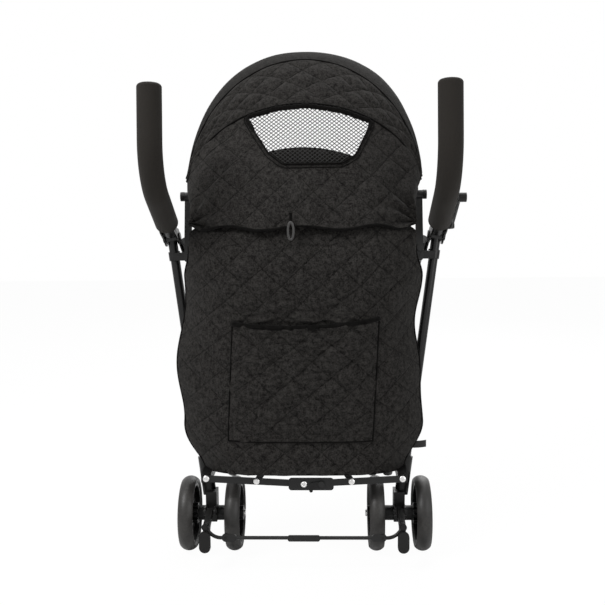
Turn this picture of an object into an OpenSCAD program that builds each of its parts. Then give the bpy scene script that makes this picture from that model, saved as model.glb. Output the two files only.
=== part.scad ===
// Umbrella stroller: two flared side frames joined by a folding cross brace.
// Lengths are in millimetres and angles in degrees, with +Z up and +Y to the front.
// Shapes are drawn from the middle of the rear axle line, on the floor, and home() moves them.

/* [Frame tubes] */
// Half distance between the two leg feet, at the axle
foot_x = 190.5; // [170:0.5:220]
// Length of a rear leg from the axle to the handle pivot
leg_len = 573; // [540:1:600]
// Outward flare of a side frame
leg_flare = 8.2; // [6:0.1:9]
// Forward lean of a rear leg
leg_lean = 7; // [5:0.5:9]
// Outer radius of the frame tubes
tube_r = 9.5; // [8:0.1:10.5]
// Wall of the frame tubes
tube_wall = 1.5; // [1:0.1:2.5]
// Length of a front tube from the handle pivot to the caster
front_len = 640; // [610:1:670]
// Height at which a front tube meets its caster
caster_z = 178.2; // [174:0.2:184]
// How far a front tube lies inside its leg
front_inset = 25; // [24:0.5:28]

/* [Handles] */
// Outer radius of the foam grip
grip_r = 23; // [18:0.5:24]
// Rise of the handle where it leaves the pivot
handle_rise = 30; // [26:0.5:34]
// Straight length of the handle before its bend
handle_run = 165; // [150:1:180]
// Radius of the handle bend
handle_bend_r = 105; // [90:1:120]
// Turn of the handle bend
handle_turn = 66; // [62:0.5:70]
// Straight length of the grip above the bend
grip_top = 102; // [90:1:130]
// Radius of the handle tube
handle_r = 10; // [8:0.1:11]
// Distance from the pivot to the foam
grip_start = 62; // [60:1:70]
// Height of the rounded grip end
grip_dome = 7; // [5:0.5:10]

/* [Wheels] */
// Radius of a rear wheel
rear_wheel_r = 75; // [70:0.5:78]
// Width of a rear tyre
rear_tyre_w = 30; // [26:0.5:31]
// Distance from the leg foot to each rear wheel
twin_gap = 46.5; // [45:0.5:52]
// Radius of a front wheel
front_wheel_r = 70; // [64:0.5:72]
// Width of a front tyre
front_tyre_w = 22; // [18:0.5:23]
// Distance from the fork to each front wheel
front_twin_gap = 20; // [19:0.5:22]
// Trail of a caster
caster_trail = 35; // [30:0.5:40]
// Thickness of a tyre
tyre_t = 14; // [10:0.5:16]
// Radius of the wheel axles
axle_r = 4; // [3:0.1:5]

/* [Cross brace and lock bar] */
// Tilt of the brace plane, top forward
brace_tilt = 12.5; // [11.5:0.1:13]
// How far the brace plane lies behind the axle line, at its own base height
brace_back = 80; // [78:0.5:86]
// Half distance between the upper brace pins
brace_top_x = 235; // [232:0.5:238]
// How far the upper brace pins lie below the handle pivots
brace_drop = 18; // [14:1:28]
// Half distance between the lock bar rivets
quarter_x = 93; // [88:0.5:98]
// Height of the lock bar rivets along the plane
quarter_v = 95; // [93:0.5:97]
// Half distance between the lock bar ends
ankle_x = 192; // [188:0.5:196]
// Height of the lock bar ends along the plane
ankle_v = 100; // [98:0.5:102]
// Thickness of a brace bar
bar_t = 4; // [3:0.1:4.5]
// Width of a brace bar
bar_w = 12; // [10:0.5:14]
// Thickness of a lock link
link_t = 4.5; // [3.5:0.1:5]
// Width of a lock link
link_w = 13; // [11:0.5:15]
// Radius of the brace pins
pin_r = 3; // [2.5:0.1:4]

/* [Brake] */
// Height of the brake pedal pivot
brake_z = 92; // [88:0.5:96]
// Distance of the pedal pivot behind the axle
brake_back = 40; // [36:0.5:44]
// Height of the rod rivets along the brace plane
rod_v = 10; // [6:0.5:14]
// Radius of a brake rod
rod_r = 3.5; // [3:0.1:4]

/* [Canopy and seat] */
// Half width of the canopy at its hinges
canopy_w = 226; // [220:0.5:227]
// Reach of the rear canopy seam from the hinge
rear_reach = 184; // [175:1:195]
// Reach of the middle bow
mid_reach = 277; // [265:1:290]
// Reach of the front bow
front_reach = 377; // [365:1:390]
// Height of the canopy hinges above the upper brace pins
canopy_rise = 113; // [105:1:121]
// How far the canopy hem hangs below the hinges
hem_drop = 61; // [46:1:76]
// Height of the bottom edge of the back panel
panel_low = 184; // [182:1:195]
// How far the back panel ends below the canopy hinges
panel_drop = 37; // [32:1:45]
// How far the back panel hangs behind the axle line
panel_back = 88; // [86:0.5:96]
// Width of a quilting diamond
quilt_w = 73; // [60:1:90]
// Height of a quilting diamond
quilt_h = 65; // [55:1:80]
// Height of the seat
seat_z = 345; // [335:1:355]
// Half width of the seat
seat_w = 160; // [150:1:165]
// Thickness of the seat pad
seat_t = 24; // [18:0.5:28]
// Height of the backrest above the canopy hinges
backrest_rise = 90; // [70:1:98]

/* [Hidden] */
$fn = 64;

// Clearances of a turning fit, between bodies and of a fixed fit, and how a bend joins a straight
fit = 0.05;
gap = 0.4;
bend_lap = 0.6;
bend_step = 0.05;
seat_fit = 0.05;
axle_z = rear_wheel_r;
frame_black = [0.16, 0.16, 0.17];
plastic_black = [0.08, 0.08, 0.085];
foam_black = [0.11, 0.10, 0.095];
rubber_black = [0.09, 0.085, 0.08];
cloth_grey = [0.18, 0.18, 0.19];
steel = [0.75, 0.75, 0.76];

// A point on the right leg, d above the axle along the leg
function leg_point(d) = [
  foot_x + d * cos(leg_lean) * sin(leg_flare), d * sin(leg_lean),
  axle_z + d * cos(leg_lean) * cos(leg_flare)
];
// A point of the brace plane, and of the layers behind it
function brace_point(x, v, m = 0) = [
  x, -brace_back + v * sin(brace_tilt) - m * cos(brace_tilt),
  brace_base_z + v * cos(brace_tilt) + m * sin(brace_tilt)
];
function mix(a, b, t) = a + (b - a) * t;
function smooth(t) = t * t * (3 - 2 * t);

brace_base_z = 70;
pivot = leg_point(leg_len);
// The front tube leans so that its end comes to the height of the caster
front_rake = acos((pivot[2] + front_inset * sin(leg_flare) - caster_z) / (front_len * cos(leg_flare)));
caster = pivot + [
  -front_inset * cos(leg_flare) - front_len * cos(front_rake) * sin(leg_flare),
  front_len * sin(front_rake),
  front_inset * sin(leg_flare) - front_len * cos(front_rake) * cos(leg_flare)
];
bend_centre_y = pivot[1] - handle_run * cos(handle_rise) + handle_bend_r * sin(handle_rise);
y_back = bend_centre_y - handle_bend_r - grip_r;
y_front = caster[1] - caster_trail + front_wheel_r;
hook_reach = 16;
mid_x = -hook_reach / 2;
axle_y = -(y_back + y_front) / 2;

latch_t = 5;
brace_top_v = leg_len - brace_drop;
canopy_v = brace_top_v + canopy_rise;
// Layers of the brace plane, each the front face of a bar, counted rearward
left_bar_m = -bar_t / 2;
right_bar_m = left_bar_m + bar_t + 1;
left_link_m = right_bar_m + bar_t + 1;
right_link_m = left_link_m + link_t + 1;
latch_m = right_link_m + link_t + 1;
rod_m = latch_m + latch_t + 3.5 + rod_r;
lug_t = 4.5;
lug_m = left_bar_m - 1 - lug_t;
canopy_hinge = brace_point(0, canopy_v, lug_m + lug_t / 2);
hem_z = canopy_hinge[2] - hem_drop;
panel_high = canopy_hinge[2] - panel_drop;
backrest_top = canopy_hinge[2] + backrest_rise;
centre_v = ankle_v - (ankle_v - quarter_v) * ankle_x / (ankle_x - quarter_x);
hub_v = brace_top_v - (brace_top_v - quarter_v) * brace_top_x / (brace_top_x + quarter_x);
rivet_r = pin_r + 3;
rivet_h = 2;
knuckle_r = 12;
knuckle_w = 11;
pivot_pin_r = 5;
plate_t = 3;
plate_x = knuckle_w + 1;
plate_r = 17;
socket_r = handle_r + 4;
sleeve_r = 11.5;
clamp_r = tube_r + 2.5;
housing_w = 22;
barrel_half = twin_gap - rear_tyre_w / 2 - 3.5;
rear_hub = rear_tyre_w / 2 + 2.5;
front_hub = front_tyre_w / 2 + 1.5;
fork_t = 13;
stem_r = 6;
crown_z = 2 * front_wheel_r + 6;
crown_h = 8;
cap_r = 7;
cap_h = 3;
hook_at = 40;
hook_len = 112;
plate_mid_x = 14;
plate_len = 88;
plate_w = 24;
latch_x = 34;
knob_seat = 8;
knob_pin_r = 4;
pad_y = -117;
rod_eye_r = 6.8;
rod_bend_r = 30;
rod_turn = 50;
rod_tail = 12;
coupler_half = 31;
rod_bend_x = foot_x - rod_bend_r * sin(rod_turn) - rod_tail * cos(rod_turn);
rod_low_v = rod_v - rod_bend_r * (1 - cos(rod_turn)) - rod_tail * sin(rod_turn);
rod_pivot_x = rod_bend_x - 9;
rod_end_x = 22;
coupler_m = rod_m + rod_r + gap;

// Places the model on its origin
module home() { translate([mid_x, axle_y, 0]) children(); }
// Draws a right-hand piece on the right or the left
module side(s) { if (s > 0) children(); else mirror([1, 0, 0]) children(); }
// The right leg, with +Z along the tube from the axle
module leg_frame() {
  translate([foot_x, 0, axle_z]) rotate([0, leg_flare, 0]) rotate([-leg_lean, 0, 0]) children();
}
// The flared plane at the handle pivot, with +X outward
module pivot_frame() { translate(pivot) rotate([0, leg_flare, 0]) children(); }
// The front tube, with -Z down the tube from the pivot
module front_frame() {
  pivot_frame() translate([-front_inset, 0, 0]) rotate([front_rake, 0, 0]) children();
}
// The handle, with +Z along its first straight length
module handle_frame() { translate(pivot) rotate([90 - handle_rise, 0, 0]) children(); }
// The end of a handle bend
module after_bend() {
  translate([0, handle_bend_r * (1 - cos(handle_turn)), handle_run + handle_bend_r * sin(handle_turn)])
    rotate([-handle_turn, 0, 0]) children();
}
// The brace plane: drawings in X and Y stand up in it, and extrude to the rear from layer m
module brace_layer(m) {
  translate([0, -brace_back, brace_base_z]) rotate([-brace_tilt, 0, 0])
    translate([0, -m, 0]) rotate([90, 0, 0]) children();
}
// A cylinder along X
module rod_x(r, x0, x1) { translate([x0, 0, 0]) rotate([0, 90, 0]) cylinder(r = r, h = x1 - x0); }
// A rectangle with round corners
module rounded(w, h, r) {
  square([w - 2 * r, h], center = true);
  square([w, h - 2 * r], center = true);
  for (x = [-1, 1], y = [-1, 1]) translate([x * (w / 2 - r), y * (h / 2 - r)]) circle(r);
}
// A flat bar between two points, with round ends that stand a hair proud of its sides
module bar_2d(p, q, w) {
  d = q - p;
  translate(p) rotate(atan2(d[1], d[0])) translate([0, -w / 2]) square([norm(d), w]);
  translate(p) circle(w / 2 + bend_step);
  translate(q) circle(w / 2 + bend_step);
}
// A hollow tube along the handle: straight, bend and straight, with the bend a little thinner
module handle_sweep(r, bore_r, start, top) {
  translate([0, 0, start]) linear_extrude(handle_run - start + bend_lap) ring_2d(r, bore_r);
  translate([0, handle_bend_r, handle_run]) rotate([90, 0, -90]) rotate_extrude(angle = handle_turn)
    translate([handle_bend_r, 0]) ring_2d(r - bend_step, bore_r + bend_step);
  after_bend() translate([0, 0, -bend_lap]) linear_extrude(top + bend_lap) ring_2d(r, bore_r);
}
module ring_2d(r, bore_r) {
  difference() {
    circle(r);
    circle(bore_r);
  }
}
// A closed solid between two grids of points of the same size
module skin(front, back) {
  rows = len(front);
  cols = len(front[0]);
  n = rows * cols;
  points = concat([for (r = front) each r], [for (r = back) each r]);
  face_a = [for (i = [0 : rows - 2], j = [0 : cols - 2])
    each quad(i * cols + j, i * cols + j + 1, (i + 1) * cols + j + 1, (i + 1) * cols + j)];
  face_b = [for (i = [0 : rows - 2], j = [0 : cols - 2])
    each quad(n + i * cols + j, n + (i + 1) * cols + j, n + (i + 1) * cols + j + 1, n + i * cols + j + 1)];
  loop = concat([for (j = [0 : cols - 1]) j], [for (i = [1 : rows - 1]) i * cols + cols - 1],
    [for (j = [cols - 2 : -1 : 0]) (rows - 1) * cols + j], [for (i = [rows - 2 : -1 : 1]) i * cols]);
  rim = [for (k = [0 : len(loop) - 1])
    each quad(loop[(k + 1) % len(loop)], loop[k], n + loop[k], n + loop[(k + 1) % len(loop)])];
  polyhedron(points, concat(face_a, face_b, rim), convexity = 6);
}
function quad(a, b, c, d) = [[a, b, c], [a, c, d]];

// Draws in Y and Z, and extrudes along X from x0
module yz_plate(x0, w) { translate([x0, 0, 0]) rotate([90, 0, 90]) linear_extrude(w) children(); }
// A tyre along X, with a crowned tread
module tyre(r, w) {
  crown_r = 1.4 * tyre_t;
  rotate([0, 90, 0]) rotate_extrude() translate([r - tyre_t / 2, 0]) intersection() {
    rounded(tyre_t, w, tyre_t * 0.4);
    translate([tyre_t / 2 - crown_r, 0]) circle(crown_r);
  }
}
// A rim along X: hub, web with round holes and ring, and brake teeth on one side
module rim(r, w, hub_half, teeth_side) {
  hub_r = 15;
  ring_t = 6;
  web_t = 6;
  holes = 6;
  teeth = 12;
  tooth = hub_half - 0.6;
  difference() {
    rotate([0, 90, 0]) rotate_extrude() {
      translate([axle_r + fit, -hub_half]) square([hub_r - axle_r - fit, 2 * hub_half]);
      translate([hub_r - 1, -web_t / 2]) square([r - hub_r - ring_t + 2, web_t]);
      translate([r - ring_t, -w / 2 + 3]) square([ring_t - seat_fit, w - 6]);
    }
    for (i = [0 : holes - 1]) rotate([i * 360 / holes, 0, 0])
      translate([0, 0, (r - ring_t + hub_r) / 2 + 3]) rod_x((r - ring_t - hub_r) / 4, -web_t, web_t);
  }
  if (teeth_side != 0) for (i = [0 : teeth - 1]) rotate([i * 360 / teeth, 0, 0])
    translate([teeth_side * tooth / 2 - tooth / 2, -2.5, hub_r - 1]) cube([tooth, 5, 7]);
}
// A rivet through a brace layer: shank from m0, head on the rear at m1
module brace_rivet(p, r, m0, m1) {
  brace_layer(m0) translate(p) cylinder(r = r, h = m1 - m0 + rivet_h);
  brace_layer(m1) translate(p) cylinder(r = r + 3, h = rivet_h);
}

module rear_leg(s) {
  tube_low = 62;
  color(frame_black) side(s) leg_frame() difference() {
    union() {
      translate([0, 0, tube_low]) cylinder(r = tube_r, h = leg_len - tube_low);
      translate([0, 0, leg_len]) rod_x(knuckle_r, -knuckle_w, knuckle_w);
    }
    translate([0, 0, tube_low - 1]) cylinder(r = tube_r - tube_wall, h = leg_len - tube_low - knuckle_r);
    translate([0, 0, leg_len]) rod_x(pivot_pin_r + fit, -knuckle_w - 1, knuckle_w + 1);
  }
}
module wheel_housing(s) {
  link_m = s > 0 ? right_link_m : left_link_m;
  ankle = brace_point(ankle_x, ankle_v);
  sleeve_low = 40;
  sleeve_high = 118;
  ear_t = 4;
  ear_in = 8;
  color(plastic_black) side(s) {
    difference() {
      union() {
        translate([foot_x, 0, axle_z]) {
          rod_x(15, -barrel_half, barrel_half);
          translate([-housing_w / 2, -20, -12]) cube([housing_w, 34, 62]);
          for (x = [-ear_in - ear_t, ear_in])
            yz_plate(x, ear_t) bar_2d([-12, 14], [-brake_back, brake_z - axle_z], 16);
        }
        leg_frame() translate([0, 0, sleeve_low]) cylinder(r = tube_r + 4, h = sleeve_high - sleeve_low);
        translate([ankle[0] - 8, ankle[1] - 1, ankle[2] - 9]) cube([20, 16 - ankle[1], 18]);
      }
      leg_frame() translate([0, 0, 61]) cylinder(r = tube_r + seat_fit, h = 100);
      translate([foot_x, 0, axle_z]) rod_x(axle_r + seat_fit, -barrel_half - 1, barrel_half + 1);
    }
    translate([foot_x, -brake_back, brake_z])
      rod_x(pin_r, -ear_in - ear_t - rivet_h, ear_in + ear_t + rivet_h);
    brace_layer(0) translate([ankle_x, ankle_v]) cylinder(r = 8, h = link_m - gap);
    brace_rivet([ankle_x, ankle_v], pin_r, link_m - 1, link_m + link_t + gap);
  }
}
module rear_axle(s) {
  half = twin_gap + rear_hub + 0.5;
  color(steel) side(s) translate([foot_x, 0, axle_z]) {
    rod_x(axle_r, -half - 1, half + 1);
    rod_x(cap_r, half, half + cap_h);
    rod_x(cap_r, -half - cap_h, -half);
  }
}
// side_of_leg is 1 for the outer wheel and -1 for the inner wheel
module rear_tyre(s, side_of_leg) {
  color(rubber_black) side(s) translate([foot_x + side_of_leg * twin_gap, 0, axle_z])
    tyre(rear_wheel_r, rear_tyre_w);
}
module rear_rim(s, side_of_leg) {
  color(plastic_black) side(s) translate([foot_x + side_of_leg * twin_gap, 0, axle_z])
    rim(rear_wheel_r - tyre_t, rear_tyre_w, rear_hub, -side_of_leg);
}
module brace_bracket(s) {
  bar_m = s > 0 ? right_bar_m : left_bar_m;
  top = [brace_top_x, brace_top_v];
  hinge = [brace_top_x, canopy_v];
  clamp_d = leg_len - 48;
  clamp_h = 18;
  clamp = leg_point(clamp_d + clamp_h / 2);
  lug = brace_point(brace_top_x, brace_top_v - 14, lug_m);
  color(steel) side(s) {
    difference() {
      union() {
        brace_layer(lug_m) linear_extrude(lug_t) bar_2d(top - [0, 16], hinge, 15);
        leg_frame() translate([0, 0, clamp_d]) cylinder(r = clamp_r, h = clamp_h);
        translate([lug[0] - 7, lug[1] - 1, clamp[2] - 8])
          cube([clamp[0] - lug[0] + 7, clamp[1] - lug[1] - 7, 16]);
        translate([brace_top_x, canopy_hinge[1], canopy_hinge[2]]) rod_x(9, -6, knob_seat);
      }
      leg_frame() translate([0, 0, clamp_d - 20]) cylinder(r = tube_r + seat_fit, h = clamp_h + 40);
      translate([brace_top_x, canopy_hinge[1], canopy_hinge[2]])
        rod_x(knob_pin_r + seat_fit, -9, knob_seat + 1);
    }
    brace_rivet(top, pin_r, lug_m, bar_m + bar_t + gap);
  }
}
module handle_clevis(s) {
  rise = [-cos(handle_rise), sin(handle_rise)];
  rake = [sin(front_rake), -cos(front_rake)];
  color(plastic_black) side(s) {
    difference() {
      union() {
        pivot_frame() for (x = [plate_x, -plate_x - plate_t]) yz_plate(x, plate_t) {
          circle(plate_r);
          bar_2d([0, 0], 40 * rise, 24);
        }
        pivot_frame() yz_plate(-plate_x - plate_t, plate_t) bar_2d([0, 0], 34 * rake, 22);
        front_frame() translate([0, 0, -48]) cylinder(r = sleeve_r, h = 32);
        handle_frame() translate([0, 0, 24]) cylinder(r = socket_r, h = grip_start - 26);
        if (s > 0) handle_frame() translate([0, 0, hook_at]) rod_x(7, socket_r - 3, grip_r + 0.6);
      }
      front_frame() translate([0, 0, -80]) cylinder(r = tube_r + seat_fit, h = 62);
      handle_frame() translate([0, 0, 30]) cylinder(r = handle_r + seat_fit, h = 80);
    }
    pivot_frame() {
      rod_x(pivot_pin_r, -plate_x - 1, plate_x + 1);
      rod_x(9, plate_x + plate_t, plate_x + plate_t + 3);
      rod_x(8, -plate_x - plate_t - 3, -plate_x - plate_t);
    }
    if (s > 0) handle_frame() translate([0, 0, hook_at]) {
      rod_x(pin_r, grip_r, grip_r + 7.5);
      rod_x(rivet_r, grip_r + 6, grip_r + 8);
    }
  }
}
module handle_tube(s) {
  color(frame_black) side(s) handle_frame()
    handle_sweep(handle_r, handle_r - tube_wall, 30.5, grip_top - grip_dome - 1);
}
module foam_grip(s) {
  color(foam_black) side(s) handle_frame() {
    handle_sweep(grip_r, handle_r + seat_fit, grip_start, grip_top - grip_dome);
    after_bend() translate([0, 0, grip_top - grip_dome]) rotate_extrude() intersection() {
      square([grip_r, grip_dome]);
      rounded(2 * grip_r, 2 * grip_dome, grip_dome - 0.1);
    }
  }
}
module front_tube(s) {
  color(frame_black) side(s) front_frame() difference() {
    translate([0, 0, -front_len + 24]) cylinder(r = tube_r, h = front_len - 24 - 18.5);
    translate([0, 0, -front_len + 23]) cylinder(r = tube_r - tube_wall, h = front_len);
  }
}
module caster_socket(s) {
  color(plastic_black) side(s) difference() {
    union() {
      front_frame() translate([0, 0, -front_len + 6]) cylinder(r = tube_r + 3.5, h = 52);
      translate([caster[0], caster[1], crown_z + crown_h + gap])
        cylinder(r = 15, h = caster[2] + 22 - crown_z - crown_h);
    }
    front_frame() translate([0, 0, -front_len + 23.5]) cylinder(r = tube_r + seat_fit, h = 60);
    translate([caster[0], caster[1], 0]) cylinder(r = stem_r + fit, h = caster[2] + 20);
    translate([caster[0], caster[1], crown_z]) cylinder(r = 30, h = crown_h + gap);
  }
}
module caster_fork(s) {
  color(plastic_black) side(s) translate([caster[0], caster[1], 0]) difference() {
    union() {
      translate([0, 0, crown_z]) cylinder(r = 18, h = crown_h);
      translate([0, 0, crown_z]) cylinder(r = stem_r, h = caster[2] + 18 - crown_z);
      yz_plate(-fork_t / 2, fork_t) {
        bar_2d([-6, crown_z - 10], [-caster_trail, front_wheel_r], 24);
        translate([-18, crown_z - 14]) square([26, 15]);
      }
    }
    translate([0, -caster_trail, front_wheel_r]) rod_x(axle_r + seat_fit, -fork_t, fork_t);
  }
}
// The middle of a front axle
module front_axle_frame() { translate([caster[0], caster[1] - caster_trail, front_wheel_r]) children(); }
module front_axle(s) {
  half = front_twin_gap + front_hub + 0.5;
  color(steel) side(s) front_axle_frame() {
    rod_x(axle_r, -half - 1, half + 1);
    rod_x(cap_r, half, half + cap_h);
    rod_x(cap_r, -half - cap_h, -half);
  }
}
module front_tyres(s) {
  color(rubber_black) side(s) front_axle_frame()
    for (x = [-1, 1]) translate([x * front_twin_gap, 0, 0]) tyre(front_wheel_r, front_tyre_w);
}
module front_rims(s) {
  color(plastic_black) side(s) front_axle_frame() for (x = [-1, 1])
    translate([x * front_twin_gap, 0, 0]) rim(front_wheel_r - tyre_t, front_tyre_w, front_hub, 0);
}
// A brace bar in its layer, from a top pin to the opposite lock bar rivet
module brace_bar(s) {
  bar_m = s > 0 ? right_bar_m : left_bar_m;
  hub_fit = s > 0 ? fit : seat_fit;
  top = [s * brace_top_x, brace_top_v];
  color(frame_black) brace_layer(bar_m) linear_extrude(bar_t) difference() {
    bar_2d(top, [-s * quarter_x, quarter_v], bar_w);
    translate(top) circle(pin_r + fit);
    translate([0, hub_v]) circle(pin_r + hub_fit);
  }
}
module brace_hub_pin() {
  front_m = left_bar_m - rivet_h;
  color(steel) {
    brace_layer(front_m) translate([0, hub_v]) cylinder(r = rivet_r, h = rivet_h);
    brace_rivet([0, hub_v], pin_r, front_m + 1, right_bar_m + bar_t + gap);
  }
}
module lock_link_left() {
  quarter = [-quarter_x, quarter_v];
  ankle = [-ankle_x, ankle_v];
  color(frame_black) brace_layer(left_link_m) linear_extrude(link_t) difference() {
    bar_2d(ankle, [0, centre_v], link_w);
    translate(ankle) circle(pin_r + fit);
  }
  color(steel) brace_rivet(quarter, pin_r, left_link_m + 1, left_link_m + link_t);
}
// The right link carries the centre plate, its screw and the latch pin
module lock_link_right() {
  quarter = [quarter_x, quarter_v];
  ankle = [ankle_x, ankle_v];
  color(frame_black) {
    brace_layer(right_link_m) linear_extrude(link_t) difference() {
      union() {
        bar_2d(ankle, [0, centre_v], link_w);
        translate([plate_mid_x, centre_v]) rounded(plate_len, plate_w, 6);
      }
      translate(ankle) circle(pin_r + fit);
    }
    brace_layer(left_bar_m + bar_t + 1) translate(quarter)
      cylinder(r = rivet_r, h = right_link_m - left_bar_m - bar_t);
  }
  color(steel) {
    brace_rivet(quarter, pin_r, right_link_m + 1, right_link_m + link_t);
    brace_rivet([0, centre_v], pin_r, right_link_m + 1, right_link_m + link_t);
    brace_rivet([latch_x, centre_v], pin_r, right_link_m + 1, latch_m + latch_t + gap);
  }
}
module lock_latch() {
  color(plastic_black) brace_layer(latch_m) linear_extrude(latch_t) difference() {
    union() {
      bar_2d([latch_x, centre_v], [latch_x - 18, centre_v - 3], 12);
      bar_2d([latch_x - 18, centre_v - 3], [latch_x - 20, centre_v - 12], 7);
    }
    translate([latch_x, centre_v]) circle(pin_r + fit);
  }
}
// A pedal with its pad, and the upturned arm that carries a brake rod
module brake_pedal(s) {
  color(plastic_black) side(s) {
    difference() {
      union() {
        translate([foot_x, 0, 0]) yz_plate(-6, 12) {
          bar_2d([-brake_back, brake_z], [-96, 80], 14);
          bar_2d([-80, 80], [-117, 50], 10);
        }
        translate([foot_x, pad_y, 61]) rotate([90, 0, 0]) linear_extrude(6) rounded(22, 42, 10.9);
        brace_layer(rod_m - 16) translate([foot_x, rod_v]) cylinder(r = 7, h = 16 + rod_r);
        brace_layer(rod_m) {
          translate([foot_x, rod_v, 0]) rotate([0, 0, rod_turn]) rod_x(rod_r, -rod_tail - bend_lap, 0);
          translate([rod_bend_x, rod_low_v + rod_bend_r, 0]) rotate([0, 0, -90])
            rotate_extrude(angle = rod_turn) translate([rod_bend_r, 0]) circle(rod_r - bend_step);
          translate([rod_pivot_x, rod_low_v, 0])
            rod_x(rod_r, rod_eye_r + 0.6, rod_bend_x - rod_pivot_x + bend_lap);
          translate([rod_pivot_x, rod_low_v, -rod_r]) cylinder(r = rod_eye_r + 1.2, h = rod_r - gap / 2);
        }
      }
      translate([foot_x, -brake_back, brake_z]) rod_x(pin_r + fit, -8, 8);
    }
    brace_layer(rod_m - rod_r) translate([rod_pivot_x, rod_low_v]) cylinder(r = pin_r, h = 2 * rod_r + 1);
    brace_layer(rod_m + rod_r) translate([foot_x, rod_v]) cylinder(r = pin_r + 2, h = rivet_h);
  }
}
// A straight brake rod with a half-thick eye, and on the left one the centre coupler
module brake_rod(s) {
  eye_gap = 2.2;
  color(plastic_black) side(s) brace_layer(rod_m) translate([0, rod_low_v, 0]) difference() {
    union() {
      rod_x(rod_r, rod_end_x, rod_pivot_x - rod_eye_r - eye_gap);
      translate([0, 0, gap / 2]) linear_extrude(rod_r - gap / 2)
        bar_2d([rod_pivot_x - rod_eye_r - 8, 0], [rod_pivot_x, 0], 2 * rod_eye_r);
    }
    translate([rod_pivot_x, 0, -9]) cylinder(r = pin_r + fit, h = 18);
  }
  if (s < 0) color(plastic_black) brace_layer(coupler_m) translate([0, rod_low_v]) {
    linear_extrude(3) rounded(2 * coupler_half, 12, 4);
    translate([-rod_end_x - 3, 0, rod_m - coupler_m]) cylinder(r = 4.5, h = coupler_m - rod_m + 4.5);
    translate([rod_end_x + 3, 0, 0]) cylinder(r = 4.5, h = 4.5);
  }
}
module canopy_knob(s) {
  color(plastic_black) side(s) translate([0, canopy_hinge[1], canopy_hinge[2]]) {
    rod_x(knob_pin_r, canopy_w - 13, brace_top_x + knob_seat + 1);
    rod_x(9.5, brace_top_x + knob_seat + gap, brace_top_x + knob_seat + 8);
    rod_x(6.5, canopy_w - 14, canopy_w - 12);
  }
}
module transport_hook() {
  color(plastic_black) handle_frame() translate([0, 0, hook_at]) difference() {
    union() {
      yz_plate(grip_r + 1, 4) bar_2d([0, 0], [0, hook_len], 13);
      translate([0, 0, hook_len]) rod_x(9, grip_r + 1, grip_r + hook_reach);
    }
    rod_x(pin_r + fit, grip_r - 2, grip_r + 9);
  }
}

// Quilting: how far the cloth swells at a point, with its seams along diamonds
function quilt(x, z) =
  let (a = x / quilt_w + z / quilt_h, b = x / quilt_w - z / quilt_h)
  pow(abs(sin(180 * a) * sin(180 * b)), 0.6);
// A point of a canopy arch at angle phi across it and tilt alpha about the hinges: an ellipse where
// the power is 2, with squarer shoulders where it is higher
function arch(w, reach, alpha, phi, power = 2) =
  let (r = pow(pow(abs(cos(phi)), power) + pow(sin(phi), power), 1 / power), lift = reach * sin(phi) / r)
  canopy_hinge + [w * cos(phi) / r, lift * sin(alpha), lift * cos(alpha)];
// Reach and tilt of the canopy between its seams: t runs from the middle bow to the front bow
function front_tilt(t) = mix(mid_tilt, bow_tilt, t);
function front_line(t) = mix(mid_reach, front_reach, t) + 10 * sin(180 * t);
arch_steps = 24;
phi_edge = 9;
arch_phi = [for (i = [0 : arch_steps]) mix(180 - phi_edge, phi_edge, i / arch_steps)];
rear_tilt = -14;
mid_tilt = 7.3;
bow_tilt = 42.5;
hood_t = 3;
hood_w = canopy_w + 12;
bow_square = 2.5;

module bow(w, reach, tilt, power) {
  across = [0, cos(tilt), -sin(tilt)];
  phi_low = asin(6.5 / reach);
  phis = [for (i = [0 : 36]) mix(phi_low, 180 - phi_low, i / 36)];
  color(plastic_black) {
    skin([for (k = [-1, 1]) [for (p = phis) arch(w, reach, tilt, p, power) + 4 * k * across]],
      [for (k = [-1, 1]) [for (p = phis) arch(w - 3, reach - 3, tilt, p, power) + 4 * k * across]]);
    for (s = [-1, 1]) side(s) translate([0, canopy_hinge[1], canopy_hinge[2]]) difference() {
      rod_x(9, w - 3, w);
      rod_x(knob_pin_r + fit, w - 4, w + 1);
    }
  }
}
module middle_bow() { bow(canopy_w - 5, mid_reach - hood_t - 4, mid_tilt, 2); }
module front_bow() { bow(canopy_w, front_reach - hood_t - 3, bow_tilt, bow_square); }

// The rear hood panel: t runs from the hem to the rear seam
function rear_hood(t, phi, inset) =
  let (seam = arch(hood_w - inset, rear_reach - inset, rear_tilt, phi),
    wave = 4 * sin(phi * 9),
    hem_back = (panel_back + 34 - inset) * pow(sin(phi), 0.6),
    hem = [(canopy_w - 6 - inset) * cos(phi), 40 - hem_back, hem_z + wave],
    bulge = 14 * sin(180 * t) * sin(phi))
  mix(hem, seam, t) - [0, bulge, 0];
// The corners of the window, across and up from the hinges, as shares of the rear reach
window_corners = [[-0.19, 0.33], [0.42, 0.335], [0.555, 0.41], [0.717, 0.76], [0.418, 0.88],
  [0.06, 0.935], [-0.255, 0.91], [-0.576, 0.825], [-0.337, 0.446]];
window_mid = [0.076, 0.63];
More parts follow.
